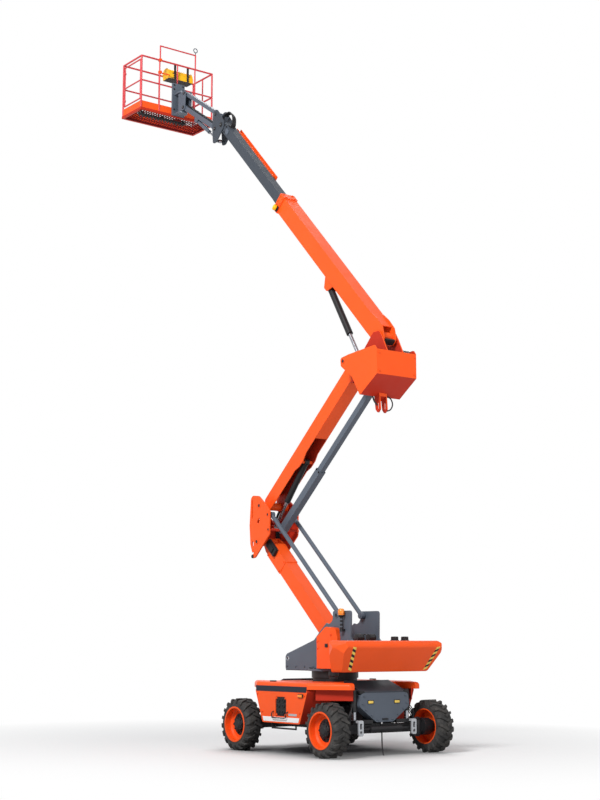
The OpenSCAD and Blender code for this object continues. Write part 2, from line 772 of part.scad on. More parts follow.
module jib_base() {
  t = fly_tip;
  f = jib_foot;
  s = fly_s / 2;
  color([0.33, 0.36, 0.41]) union() {
    pair() slab([t + [-90, -50], t + [-60, -100], f + [-60, -300], f + [60, -300], f + [80, -60],
      f + [90, 20], f + jib_off + [90, 40], f + jib_off + [30, 90], f + jib_off + [-60, 80], t + [-60, 100],
      t + [-90, 50]], s + play, s + play + 20, 50);
    bar(t, pin_r, -s - play - 1, s + play + 1);
    bar(f, 25, -s - play - 1, s + play + 1);
    bar(f + jib_off, 20, -s - play - 1, s + play + 1);
    pair() bar(jib_eye, 22, 38, s + play + 1);
  }
}

module jib_arm() {
  a = atan2(jib_eye[1] - jib_lug[1], jib_eye[0] - jib_lug[0]);
  color([0.36, 0.4, 0.46]) difference() {
    union() {
      along(jib_foot, jib_a) {
        tube(40, jib_len - 40, 60, 100, 7);
        bar([0, 0], 52, -60, 60);
        bar([jib_len, 0], 52, -60, 60);
        box([0, -60, -50], [60, 60, 50]);
        box([jib_len - 60, -60, -50], [jib_len, 60, 50]);
        pair() slab([[820, -49], [860, -140], [940, -140], [980, -49]], 42, 60, 20);
        bar([900, -100], 25, -60, 60);
      }
      along(jib_lug, a) difference() {
        rotate([0, 90, 0]) translate([0, 0, 15]) cylinder(r = 40, h = 560);
        rotate([0, 90, 0]) translate([0, 0, 60]) cylinder(r = 22 + fit, h = 600);
      }
    }
    bar(jib_foot, 25 + fit, -100, 100);
    bar(jib_top, 25 + fit, -100, 100);
  }
}

module jib_link() {
  color([0.36, 0.4, 0.46]) difference() {
    along(jib_foot + jib_off, jib_a) {
      tube(30, jib_len - 30, 45, 76, 6);
      bar([0, 0], 40, -45, 45);
      bar([jib_len, 0], 40, -45, 45);
      box([0, -45, -38], [40, 45, 38]);
      box([jib_len - 40, -45, -38], [jib_len, 45, 38]);
    }
    bar(jib_foot + jib_off, 20 + fit, -100, 100);
    bar(jib_top + jib_off, 20 + fit, -100, 100);
  }
}

module jib_rod() {
  d = jib_eye - jib_lug;
  l = norm(d);
  color([0.75, 0.77, 0.8]) along(jib_lug, atan2(d[1], d[0])) difference() {
    union() {
      rotate([0, 90, 0]) translate([0, 0, l - 620]) cylinder(r = 22, h = 590);
      bar([l, 0], 38, -32, 32);
    }
    bar([l, 0], 24, -60, 60);
  }
}

module jib_head() {
  t = jib_top;
  color([0.36, 0.4, 0.46]) union() {
    pair() slab([t + [-60, -50], t + [10, -62], t + [120, -38], t + [120, 338], t + jib_off + [-40, 60],
      t + jib_off + [-60, -20]], 66, 84, 30);
    bar(t, 25, -67, 67);
    bar(t + jib_off, 20, -67, 67);
    translate([turn_x, 0, t[1] - 40]) cylinder(r = 90, h = 380);
    translate([turn_x, 0, t[1] - 90]) cylinder(r = 40, h = 480);
  }
}

module platform_mount() {
  z = jib_top[1];
  color([0.36, 0.4, 0.46]) difference() {
    union() {
      for (h = [-90, 350]) {
        translate([turn_x, 0, z + h]) cylinder(r = 110, h = 40);
        box([turn_x, -110, z + h], [plat_x - 40, 110, z + h + 40]);
      }
      box([plat_x - 60, -150, z - 90], [plat_x - tube_r - seat, 150, z + 620]);
    }
    translate([turn_x, 0, z - 200]) cylinder(r = 40 + fit, h = 900);
  }
}

module platform_floor() {
  n = 28;
  step = (plat_w - 100) / n;
  color([0.8, 0.3, 0.2]) union() {
    difference() {
      box([plat_x - tube_r, -plat_w / 2, floor_z - 50], [plat_end, plat_w / 2, floor_z]);
      box([plat_x + 30, -plat_w / 2 + 50, floor_z - 60], [plat_end - 50, plat_w / 2 - 50, floor_z + 10]);
    }
    for (i = [1:n - 1]) box([plat_x + 29, -plat_w / 2 + 47 + i * step, floor_z - 28],
      [plat_end - 49, -plat_w / 2 + 53 + i * step, floor_z]);
    for (f = [0.25, 0.5, 0.75]) box([plat_x + f * plat_d - 4, -plat_w / 2 + 49, floor_z - 20],
      [plat_x + f * plat_d + 4, plat_w / 2 - 49, floor_z - 6]);
  }
}

// one long side of the platform: posts, rails and kick plate
module rail_long(x) {
  h = plat_hw;
  z0 = floor_z + seat;
  for (y = [-h, h]) {
    rod([x, y, z0], [x, y, rail_z - tube_r], tube_r);
    translate([x, y, rail_z - tube_r]) sphere(r = tube_r);
  }
  rod([x, -h, rail_z - tube_r], [x, h, rail_z - tube_r], tube_r);
  rod([x, -h, floor_z + 600], [x, h, floor_z + 600], tube_r * 0.9);
  for (y = [-h / 2, 0, h / 2]) rod([x, y, z0], [x, y, rail_z - tube_r], tube_r * 0.8);
  box([x - 3, -h, z0], [x + 3, h, z0 + 150]);
}

// hinge eyes that carry the gate
module gate_eyes() {
  for (z = gate_eye_z) difference() {
    union() {
      translate([gate_x, plat_hw, z]) cylinder(r = gate_r + 10, h = 40);
      box([gate_x, plat_hw - 8, z], [plat_end - tube_r, plat_hw + 8, z + 40]);
    }
    translate([gate_x, plat_hw, z - 1]) cylinder(r = gate_r + fit, h = 42);
  }
}

module platform_rails() {
  h = plat_hw;
  x1 = plat_end - tube_r;
  g = tube_r + seat;
  r = tube_r * 0.8;
  top = rail_z + 300;
  color([0.85, 0.3, 0.2]) {
    union() {
      rail_long(plat_x);
      for (y = [-450, 430]) {
        rod([plat_x, y, rail_z - tube_r], [plat_x, y, top], r);
        translate([plat_x, y, top]) sphere(r = r);
      }
      rod([plat_x, -450, top], [plat_x, 430, top], r);
    }
    union() {
      rail_long(x1);
      gate_eyes();
    }
    union() {
      for (z = [rail_z - tube_r, floor_z + 600]) rod([plat_x + g, -h, z], [x1 - g, -h, z], tube_r);
      rod([(plat_x + x1) / 2, -h, floor_z + seat], [(plat_x + x1) / 2, -h, rail_z - tube_r], r);
      box([plat_x + g, -h - 3, floor_z + seat], [x1 - g, -h + 3, floor_z + 150]);
    }
    rod([plat_x + g, h, rail_z - tube_r], [x1 - g, h, rail_z - tube_r], tube_r);
    box([plat_x + g, h - 3, floor_z + seat], [x1 - g, h + 3, floor_z + 150]);
  }
}

module gate() {
  h = plat_hw;
  x0 = plat_x + tube_r + play + gate_r;
  color([0.85, 0.3, 0.2]) union() {
    for (z = [floor_z + 200, floor_z + 600, rail_z - 90]) rod([x0, h, z], [gate_x, h, z], gate_r);
    for (x = [x0, gate_x]) {
      rod([x, h, floor_z + 200], [x, h, rail_z - 90], gate_r);
      for (z = [floor_z + 200, rail_z - 90]) translate([x, h, z]) sphere(r = gate_r);
    }
  }
}

module console() {
  x = plat_x;
  z = rail_z;
  color([0.08, 0.08, 0.08]) union() {
    box([x + 40, -420, z - 330], [x + 290, 180, z - 220]);
    for (y = [-300, 20]) box([x + tube_r + seat, y, z - 330], [x + 46, y + 40, z - 10]);
    bar(lid_pin, 6, -400, 160);
    for (y = [-200, -60]) box([x + 280, y, z - 240], [lid_pin[0], y + 20, z - 224]);
  }
}

module console_cover() {
  c = lid_c;
  color([1, 0.75, 0.08]) difference() {
    union() {
      difference() {
        bar(c, lid_r, -420, 180);
        bar(c, lid_r - 8, -412, 172);
        box([c[0] - 200, -500, c[1] - 200], [c[0] + 200, 300, c[1]]);
      }
      for (y = [-380, 100]) {
        bar(lid_pin, 13, y, y + 40);
        box([c[0] + lid_r - 8, y, c[1] - 10], [lid_pin[0], y + 40, c[1] + 8]);
      }
    }
    bar(lid_pin, 6 + fit, -500, 300);
  }
}

place() chassis_frame();
place() deck();
place() pair() pod();  // pods
place() for (a = [0, 180]) rotate([0, 0, a]) end_cover();  // end_covers
place() power_packs();
place() step_rails();
place() tie_downs();
place() axle_front();
place() axle_rear();
place() knuckle_steer();  // knuckle_left
place() mirror([0, 1, 0]) knuckle_steer();  // knuckle_right
place() wheel_at(axle_x, 1) rim();  // rim_fl
place() wheel_at(axle_x, 1) tyre();  // tyre_fl
place() wheel_at(axle_x, -1) rim();  // rim_fr
place() wheel_at(axle_x, -1) tyre();  // tyre_fr
place() wheel_at(-axle_x, 1) rim();  // rim_rl
place() wheel_at(-axle_x, 1) tyre();  // tyre_rl
place() wheel_at(-axle_x, -1) rim();  // rim_rr
place() wheel_at(-axle_x, -1) tyre();  // tyre_rr
place() slew_ring();
place() turret();
place() counterweight();
place() turret_covers();
place() beacon();
place() lower_barrel();
place() lower_rod();
place() lower_boom();
place() level_rods();
place() knee();
place() second_boom();
place() second_link();
place() second_barrel();
place() second_rod();
place() knuckle();
place() main_boom();
place() main_barrel();
place() main_rod();
place() fly_boom();
place() hose_tray();
place() cable_chain();
place() jib_base();
place() jib_arm();
place() jib_link();
place() jib_rod();
place() jib_head();
place() platform_mount();
place() platform_floor();
place() platform_rails();
place() gate();
place() console();
place() console_cover();
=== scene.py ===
"""Looks of an articulating boom lift: a finish on every CAD node, and the trim that rides with it."""

import json
import logging
import math
from dataclasses import dataclass, field
from enum import Enum
from typing import Callable, Optional, Sequence, Union

import bmesh
import bpy
from mathutils import Matrix, Vector


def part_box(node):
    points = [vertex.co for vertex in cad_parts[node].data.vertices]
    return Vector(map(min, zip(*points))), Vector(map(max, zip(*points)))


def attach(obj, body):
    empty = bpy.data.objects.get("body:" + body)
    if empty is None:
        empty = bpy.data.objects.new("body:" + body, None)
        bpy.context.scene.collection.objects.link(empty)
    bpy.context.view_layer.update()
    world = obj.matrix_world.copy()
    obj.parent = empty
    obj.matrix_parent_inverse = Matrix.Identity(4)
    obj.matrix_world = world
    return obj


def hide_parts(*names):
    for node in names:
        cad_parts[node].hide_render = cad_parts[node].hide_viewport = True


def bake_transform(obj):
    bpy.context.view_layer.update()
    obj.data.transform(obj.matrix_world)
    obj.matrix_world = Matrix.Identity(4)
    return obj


LOG = logging.getLogger("boom_lift")
Triple = tuple[float, float, float]
Socket = bpy.types.NodeSocket
Tree = bpy.types.NodeTree
LEFT = Vector((0.0, 1.0, 0.0))
UP = Vector((0.0, 0.0, 1.0))
AHEAD = Vector((1.0, 0.0, 0.0))
SIGNS = (1.0, -1.0)
CORNERS = ("fl", "fr", "rl", "rr")
SPANS = ("Length", "Width", "Height")
DUST_COLOUR = (0.3, 0.27, 0.23)
SHARP_ANGLE = math.radians(38.0)
RING_STEPS = 32
COAT_ROUGHNESS = 0.2

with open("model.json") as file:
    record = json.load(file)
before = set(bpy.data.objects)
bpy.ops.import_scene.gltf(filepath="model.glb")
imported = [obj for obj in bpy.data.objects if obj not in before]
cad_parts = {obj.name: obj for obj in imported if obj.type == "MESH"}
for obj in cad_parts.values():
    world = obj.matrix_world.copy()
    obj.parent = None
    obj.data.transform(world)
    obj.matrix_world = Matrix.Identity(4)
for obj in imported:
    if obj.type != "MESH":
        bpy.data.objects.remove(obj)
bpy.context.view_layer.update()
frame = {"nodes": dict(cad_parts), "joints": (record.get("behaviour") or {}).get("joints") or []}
JOINTS = {joint["name"]: joint for joint in frame["joints"]}


def joint_at(name: str) -> Vector:
    """Gives a joint's place in the row frame."""
    return Vector(JOINTS[name]["pos_m"])


SLEW_X = joint_at("slew").x


def machine(x: float, y: float, z: float) -> Vector:
    """Turns a place measured from the slew axis into the row frame."""
    return Vector((SLEW_X + x, y, z))


def around(count: int) -> list[tuple[float, float]]:
    """Gives the cosine and sine of evenly spread turns."""
    return [(math.cos(a), math.sin(a)) for a in (2 * math.pi * i / count for i in range(count))]


def stand(at: Vector, axis: Vector) -> Matrix:
    """Gives the matrix that sets a part's own upright along an axis."""
    return Matrix.Translation(at) @ axis.normalized().to_track_quat("Z", "Y").to_matrix().to_4x4()


def feed(node: bpy.types.Node, given: dict[Union[str, int], object]) -> bpy.types.Node:
    """Fills a node's inputs.

    Args:
        node: The node.
        given: A value, or a socket to link, by the input's name or number.

    Returns:
        The same node.
    """
    for key, value in given.items():
        if isinstance(value, Socket):
            node.id_data.links.new(value, node.inputs[key])
        else:
            node.inputs[key].default_value = value
    return node


def add_node(tree: Tree, kind: str, given: dict[Union[str, int], object], **settings: object) -> bpy.types.Node:
    """Adds a node to a tree.

    Args:
        tree: The node tree.
        kind: Type of the node.
        given: What its inputs take, as in feed.
        settings: Properties of the node.

    Returns:
        The new node.
    """
    node = tree.nodes.new(kind)
    for key, value in settings.items():
        setattr(node, key, value)
    return feed(node, given)


def noise(place: Socket, scale: float, detail: float) -> Socket:
    """Adds a noise texture and gives its factor."""
    given = {"Vector": place, "Scale": scale, "Detail": detail}
    return add_node(place.id_data, "ShaderNodeTexNoise", given).outputs["Fac"]


def ranged(value: Socket, low: float, high: float, start: float = 0.3, stop: float = 0.7) -> Socket:
    """Maps a factor from start and stop onto low and high."""
    given = {"Value": value, "From Min": start, "From Max": stop, "To Min": low, "To Max": high}
    return add_node(value.id_data, "ShaderNodeMapRange", given).outputs["Result"]


def mixed(share: Socket, under: Union[Socket, Triple], over: Union[Socket, Triple]) -> Socket:
    """Lays one colour over another.

    Args:
        share: How much of the upper colour shows.
        under: Lower colour or its socket.
        over: Upper colour or its socket.

    Returns:
        The mixed colour socket.
    """
    colours = {key: value if isinstance(value, Socket) else (*value, 1.0)
               for key, value in (("A", under), ("B", over))}
    node = add_node(share.id_data, "ShaderNodeMix", {"Factor": share, **colours}, data_type="RGBA")
    return node.outputs["Result"]


class Texture(Enum):
    """Surface grain of a finish: its scale per metre and its depth."""

    PAINT = (14.0, 0.00003)
    CAST = (110.0, 0.0003)
    RUBBER = (90.0, 0.0022)
    POLISHED = (80.0, 0.00002)
    MOULDED = (140.0, 0.0001)
    LENS = (60.0, 0.0006)


@dataclass(frozen=True)
class Finish:
    """One procedural material.

    Attributes:
        name: Material name.
        colour: Main colour, linear RGB.
        grain: Kind of surface.
        rough: Mean roughness.
        metal: Metallic share.
        coat: Clear coat weight.
        shine: Strength of the plain reflection.
        shade: How far the colour drifts towards darker patches.
        dust: How much pale dust lies in patches.
        soften: Radius over which hard edges catch the light.
    """

    name: str
    colour: Triple
    grain: Texture = Texture.PAINT
    rough: float = 0.4
    metal: float = 0.0
    coat: float = 0.0
    shine: float = 0.25
    shade: float = 0.08
    dust: float = 0.0
    soften: float = 0.006

    def material(self) -> bpy.types.Material:
        """Builds the material once.

        Returns:
            The material of this finish.
        """
        known = bpy.data.materials.get(self.name)
        if known is not None:
            return known
        made = bpy.data.materials.new(self.name)
        made.use_nodes = True
        place = made.node_tree.nodes.new("ShaderNodeTexCoord").outputs["Object"]
        feed(made.node_tree.nodes["Principled BSDF"], {
            "Metallic": self.metal, "Coat Weight": self.coat, "Coat Roughness": COAT_ROUGHNESS,
            "Specular IOR Level": self.shine, "Base Color": self._colour(place),
            "Roughness": self._roughness(place), "Normal": self._normal(place)})
        return made

    def _colour(self, place: Socket) -> Socket:
        """Gives the colour with its drift and dust.

        Args:
            place: Coordinates to read.

        Returns:
            The colour socket.
        """
        dark = tuple(part * (1.0 - self.shade * 2.0) for part in self.colour)
        result = mixed(ranged(noise(place, 1.7, 4.0), 0.0, 1.0), self.colour, dark)
        if self.dust > 0.0:
            patches = ranged(noise(place, 9.0, 6.0), 0.0, self.dust, 0.42, 0.75)
            result = mixed(patches, result, DUST_COLOUR)
        return result

    def _roughness(self, place: Socket) -> Socket:
        """Gives the roughness with its smears.

        Args:
            place: Coordinates to read.

        Returns:
            The roughness socket.
        """
        smear, spread = (6.0, 0.12) if self.grain is Texture.PAINT else (40.0, 0.25)
        return ranged(noise(place, smear, 2.0), self.rough * (1.0 - spread), self.rough * (1.0 + spread))

    def _normal(self, place: Socket) -> Socket:
        """Gives the softened edge normal with the grain on top.

        Args:
            place: Coordinates to read.

        Returns:
            The normal socket.
        """
        scale, depth = self.grain.value
        edge = add_node(place.id_data, "ShaderNodeBevel", {"Radius": self.soften}, samples=4)
        return add_node(place.id_data, "ShaderNodeBump", {
            "Strength": 0.5, "Distance": depth, "Height": noise(place, scale, 2.0),
            "Normal": edge.outputs["Normal"]}).outputs["Normal"]


ORANGE = Finish("orange_enamel", (0.95, 0.1, 0.012), rough=0.42, coat=0.05, shine=0.2, shade=0.04)
# Painted shade: a darker red that stands in for the orange paint where it lies in shade, on insides,
# undersides, recessed walls and the platform's underside.
PAINTED_SHADE_ORANGE = Finish("orange_shadow_paint", (0.5, 0.03, 0.012), rough=0.5, shine=0.15, shade=0.06)
SLATE = Finish("slate_paint", (0.098, 0.118, 0.15), rough=0.45, coat=0.03, shade=0.06)
GRAPHITE = Finish("graphite_paint", (0.062, 0.072, 0.088), rough=0.55, shine=0.12, shade=0.06)
BLACK = Finish("dark_steel", (0.016, 0.016, 0.018), rough=0.45, shade=0.1)
RAIL = Finish("rail_enamel", (0.62, 0.05, 0.06), rough=0.4, coat=0.05, shade=0.04, soften=0.003)
TYRE = Finish("tyre_rubber", (0.042, 0.041, 0.041), Texture.RUBBER, rough=0.75, dust=0.12, soften=0.008)
CHROME = Finish("hard_chrome", (0.34, 0.35, 0.38), Texture.POLISHED, rough=0.25, metal=1.0, shade=0.03)
PLASTIC = Finish("dark_plastic", (0.014, 0.014, 0.015), Texture.MOULDED, rough=0.55, soften=0.003)
YELLOW = Finish("cover_yellow", (0.95, 0.5, 0.006), Texture.MOULDED, rough=0.32, coat=0.2, shade=0.03)
AMBER = Finish("amber_lens", (0.95, 0.26, 0.01), Texture.LENS, rough=0.15, coat=0.5, soften=0.003)
ZINC = Finish("zinc_plate", (0.55, 0.55, 0.56), Texture.CAST, rough=0.35, metal=1.0, soften=0.002)
WHITE = Finish("white_trim", (0.93, 0.93, 0.93), Texture.MOULDED, rough=0.4, soften=0.002)
HOSE = Finish("black_hose", (0.018, 0.018, 0.02), Texture.RUBBER, rough=0.5, soften=0.001)
BAND = Finish("navy_band", (0.012, 0.017, 0.03), rough=0.4, shine=0.2, soften=0.001)
SILVER = Finish("silver_plate", (0.5, 0.52, 0.55), Texture.CAST, rough=0.4, metal=0.3, soften=0.002)
REFLECTOR = Finish("yellow_reflector", (0.95, 0.66, 0.12), Texture.LENS, rough=0.25, coat=0.3, soften=0.001)
RED = Finish("red_button", (0.6, 0.012, 0.012), Texture.MOULDED, rough=0.35, coat=0.2, soften=0.002)
# Painted shade: a very dark red for the platform's grating, seen from below in shade.
SHADED_GRATE = Finish("grating_bars_painted_shade", (0.17, 0.012, 0.012), rough=0.7, shine=0.08, soften=0.001)

NODE_FINISH: dict[str, Finish] = {name: finish for finish, names in (
    (SLATE, "end_covers turret level_rods second_link jib_arm jib_link jib_head platform_mount"),
    (GRAPHITE, "fly_boom jib_base"),
    (BLACK, "chassis_frame step_rails axle_front axle_rear slew_ring lower_barrel second_barrel "
            "main_barrel knuckle_left knuckle_right"),
    (CHROME, "lower_rod second_rod main_rod jib_rod"),
    (RAIL, "platform_rails gate"),
    (TYRE, "tyre_fl tyre_fr tyre_rl tyre_rr"),
    (PLASTIC, "console cable_chain power_packs"),
    # The platform floor takes the painted shade red of its shaded underside.
    (PAINTED_SHADE_ORANGE, "platform_floor"),
    (SILVER, "tie_downs"),
    (YELLOW, "console_cover"),
    (AMBER, "beacon"),
) for name in names.split()}


def dress_nodes() -> None:
    """Gives every CAD node its finish."""
    for name, item in frame["nodes"].items():
        finish = NODE_FINISH.get(name, ORANGE)
        item.data.materials.clear()
        item.data.materials.append(finish.material())
        LOG.info("node %s in %s", name, finish.name)


def shell(lower: Sequence[Sequence[float]], upper: Sequence[Sequence[float]]) -> bmesh.types.BMesh:
    """Closes the space between two loops of as many points.

    Args:
        lower: Points of the first loop.
        upper: Points of the second loop.

    Returns:
        The closed mesh.
    """
    part = bmesh.new()
    below, above = ([part.verts.new(point) for point in loop] for loop in (lower, upper))
    part.faces.new(below[::-1])
    part.faces.new(above)
    for i in range(len(below)):
        part.faces.new((below[i - 1], below[i], above[i], above[i - 1]))
    return part


@dataclass
class Shape:
    """A mesh in the making, in the row frame, with a finish on each face."""

    finishes: list[Finish] = field(default_factory=list)
    mesh: bmesh.types.BMesh = field(default_factory=bmesh.new)

    def take(self, part: bmesh.types.BMesh, finish: Finish) -> None:
        """Adds a finished part to the mesh.

        Args:
            part: The part, which is freed.
            finish: Finish of all its faces.
        """
        if finish not in self.finishes:
            self.finishes.append(finish)
        bmesh.ops.recalc_face_normals(part, faces=part.faces)
        for face in part.faces:
            face.material_index = self.finishes.index(finish)
            face.smooth = True
        scratch = bpy.data.meshes.new("scratch")
        part.to_mesh(scratch)
        part.free()
        self.mesh.from_mesh(scratch)
        bpy.data.meshes.remove(scratch)

    def box(self, one: Sequence[float], other: Sequence[float], finish: Finish, edge: float = 0.004,
            turn: Optional[Matrix] = None) -> None:
        """Adds a block with eased edges.

        Args:
            one: A corner.
            other: The opposite corner.
            finish: Its finish.
            edge: Width of the eased edges.
            turn: Places the block from its own axes; row axes if left out.
        """
        part = bmesh.new()
        size = [abs(b - a) for a, b in zip(one, other)]
        place = Matrix.Translation((Vector(one) + Vector(other)) / 2) @ Matrix.Diagonal((*size, 1.0))
        bmesh.ops.create_cube(part, size=1.0, matrix=place)
        eased = min(edge, 0.3 * min(size))
        bmesh.ops.bevel(part, geom=part.edges[:], offset=eased, segments=2, profile=0.6, affect="EDGES")
        if turn is not None:
            bmesh.ops.transform(part, matrix=turn, verts=part.verts)
        self.take(part, finish)

    def prism(self, outline: Sequence[Sequence[float]], low: float, high: float, finish: Finish,
              turn: Matrix, edge: float) -> None:
        """Adds a plate cut to an outline.

        Args:
            outline: Points in the plate's own first two axes.
            low: Where it starts on the third axis.
            high: Where it ends on the third axis.
            finish: Its finish.
            turn: Places the plate from its own axes.
            edge: Width of the eased edges.
        """
        part = shell([(*point, low) for point in outline], [(*point, high) for point in outline])
        eased = min(edge, 0.3 * abs(high - low))
        bmesh.ops.bevel(part, geom=part.edges[:], offset=eased, segments=1, affect="EDGES")
        bmesh.ops.transform(part, matrix=turn, verts=part.verts)
        self.take(part, finish)

    def lathe(self, profile: Sequence[tuple[float, float]], foot: Vector, axis: Vector, finish: Finish,
              steps: int = 28) -> None:
        """Adds a turned part.

        Args:
            profile: Radius and height pairs from the foot up; a radius of 0 closes an end.
            foot: Where height 0 lies.
            axis: Direction of the height.
            finish: Its finish.
            steps: Faces round the axis.
        """
        part = bmesh.new()
        rings = [[part.verts.new((radius * c, radius * s, height))
                  for c, s in (around(steps) if radius > 0.0 else [(0.0, 0.0)])] for radius, height in profile]
        for a, b in zip(rings, rings[1:]):
            for i in range(steps):
                k = (i + 1) % steps
                corners = [a[i % len(a)], a[k % len(a)], b[k % len(b)], b[i % len(b)]]
                part.faces.new(list(dict.fromkeys(corners)))
        for end in (rings[0][::-1], rings[-1]):
            if len(end) > 1:
                part.faces.new(end)
        bmesh.ops.transform(part, matrix=stand(foot, axis), verts=part.verts)
        self.take(part, finish)

    def ring(self, centre: Vector, axis: Vector, radius: float, thick: float, finish: Finish) -> None:
        """Adds a closed round ring of round section."""
        path = [stand(centre, axis) @ Vector((radius * c, radius * s, 0.0)) for c, s in around(RING_STEPS)]
        self.tube(path, thick, finish, closed=True)

    def tube(self, path: Sequence[Vector], radius: float, finish: Finish, sides: int = 10,
             closed: bool = False) -> None:
        """Adds a round bar or hose along a path.

        Args:
            path: Points of its middle line.
            radius: Its radius.
            finish: Its finish.
            sides: Faces round it.
            closed: Joins the last point to the first.
        """
        part = bmesh.new()
        count = len(path)
        across = None
        rings = []
        for i, point in enumerate(path):
            after = path[(i + 1) % count] if closed else path[min(i + 1, count - 1)]
            before = path[i - 1] if closed else path[max(i - 1, 0)]
            ahead = (after - before).normalized()
            if across is None:
                across = ahead.orthogonal().normalized()
            across = (across - ahead * across.dot(ahead)).normalized()
            other = ahead.cross(across)
            rings.append([part.verts.new(point + radius * (across * c + other * s)) for c, s in around(sides)])
        for a, b in list(zip(rings, rings[1:])) + ([(rings[-1], rings[0])] if closed else []):
            for k in range(sides):
                n = (k + 1) % sides
                part.faces.new((a[k], a[n], b[n], b[k]))
        if not closed:
            part.faces.new(rings[0][::-1])
            part.faces.new(rings[-1])
        self.take(part, finish)

    def piece(self, name: str, body: Optional[str]) -> bpy.types.Object:
        """Turns the mesh into a piece of the machine.

        Args:
            name: Name of the piece.
            body: The body it rides on, or None to leave it unattached.

        Returns:
            The new object.
        """
        data = bpy.data.meshes.new(name)
        self.mesh.to_mesh(data)
        self.mesh.free()
        data.set_sharp_from_angle(angle=SHARP_ANGLE)
        for finish in self.finishes:
            data.materials.append(finish.material())
        return place_piece(name, data, body)


def place_piece(name: str, data: bpy.types.Mesh, body: Optional[str]) -> bpy.types.Object:
    """Links a mesh to the scene and makes it ride.

    Args:
        name: Name of the piece.
        data: Its mesh, in the row frame.
        body: The body it rides on, or None to leave it unattached.

    Returns:
        The new object.
    """
    item = bpy.data.objects.new(name, data)
    bpy.context.scene.collection.objects.link(item)
    if body is not None:
        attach(item, body)
    LOG.info("piece %s on %s, %d faces", name, body, len(data.polygons))
    return item


def eased_path(points: Sequence[Vector], per: int = 8) -> list[Vector]:
    """Rounds a path through its points.

    Args:
        points: Points that the path passes through.
        per: Steps between two points.

    Returns:
        Points of the smooth path.
    """
    ends = [2 * points[0] - points[1], *points, 2 * points[-1] - points[-2]]
    path = []
    for a, b, c, d in zip(ends, ends[1:], ends[2:], ends[3:]):
        for i in range(per):
            t = i / per
            path.append(0.5 * ((2 * b) + (c - a) * t + (2 * a - 5 * b + 4 * c - d) * t * t
                               + (3 * b - a - 3 * c + d) * t ** 3))
    path.append(points[-1].copy())
    return path


class Unit(Enum):
    """A small part that is repeated."""

    BOLT = "bolt_heads"
    LINK = "chain_links"
    TOOTH = "strip_teeth"
    CLIP = "hose_clips"


@dataclass(frozen=True)
class Spot:
    """Where one repeated part stands.

    Attributes:
        at: Its place.
        facing: Where its top points.
        heading: Where its length points.
    """

    at: Vector
    facing: Vector
    heading: Vector


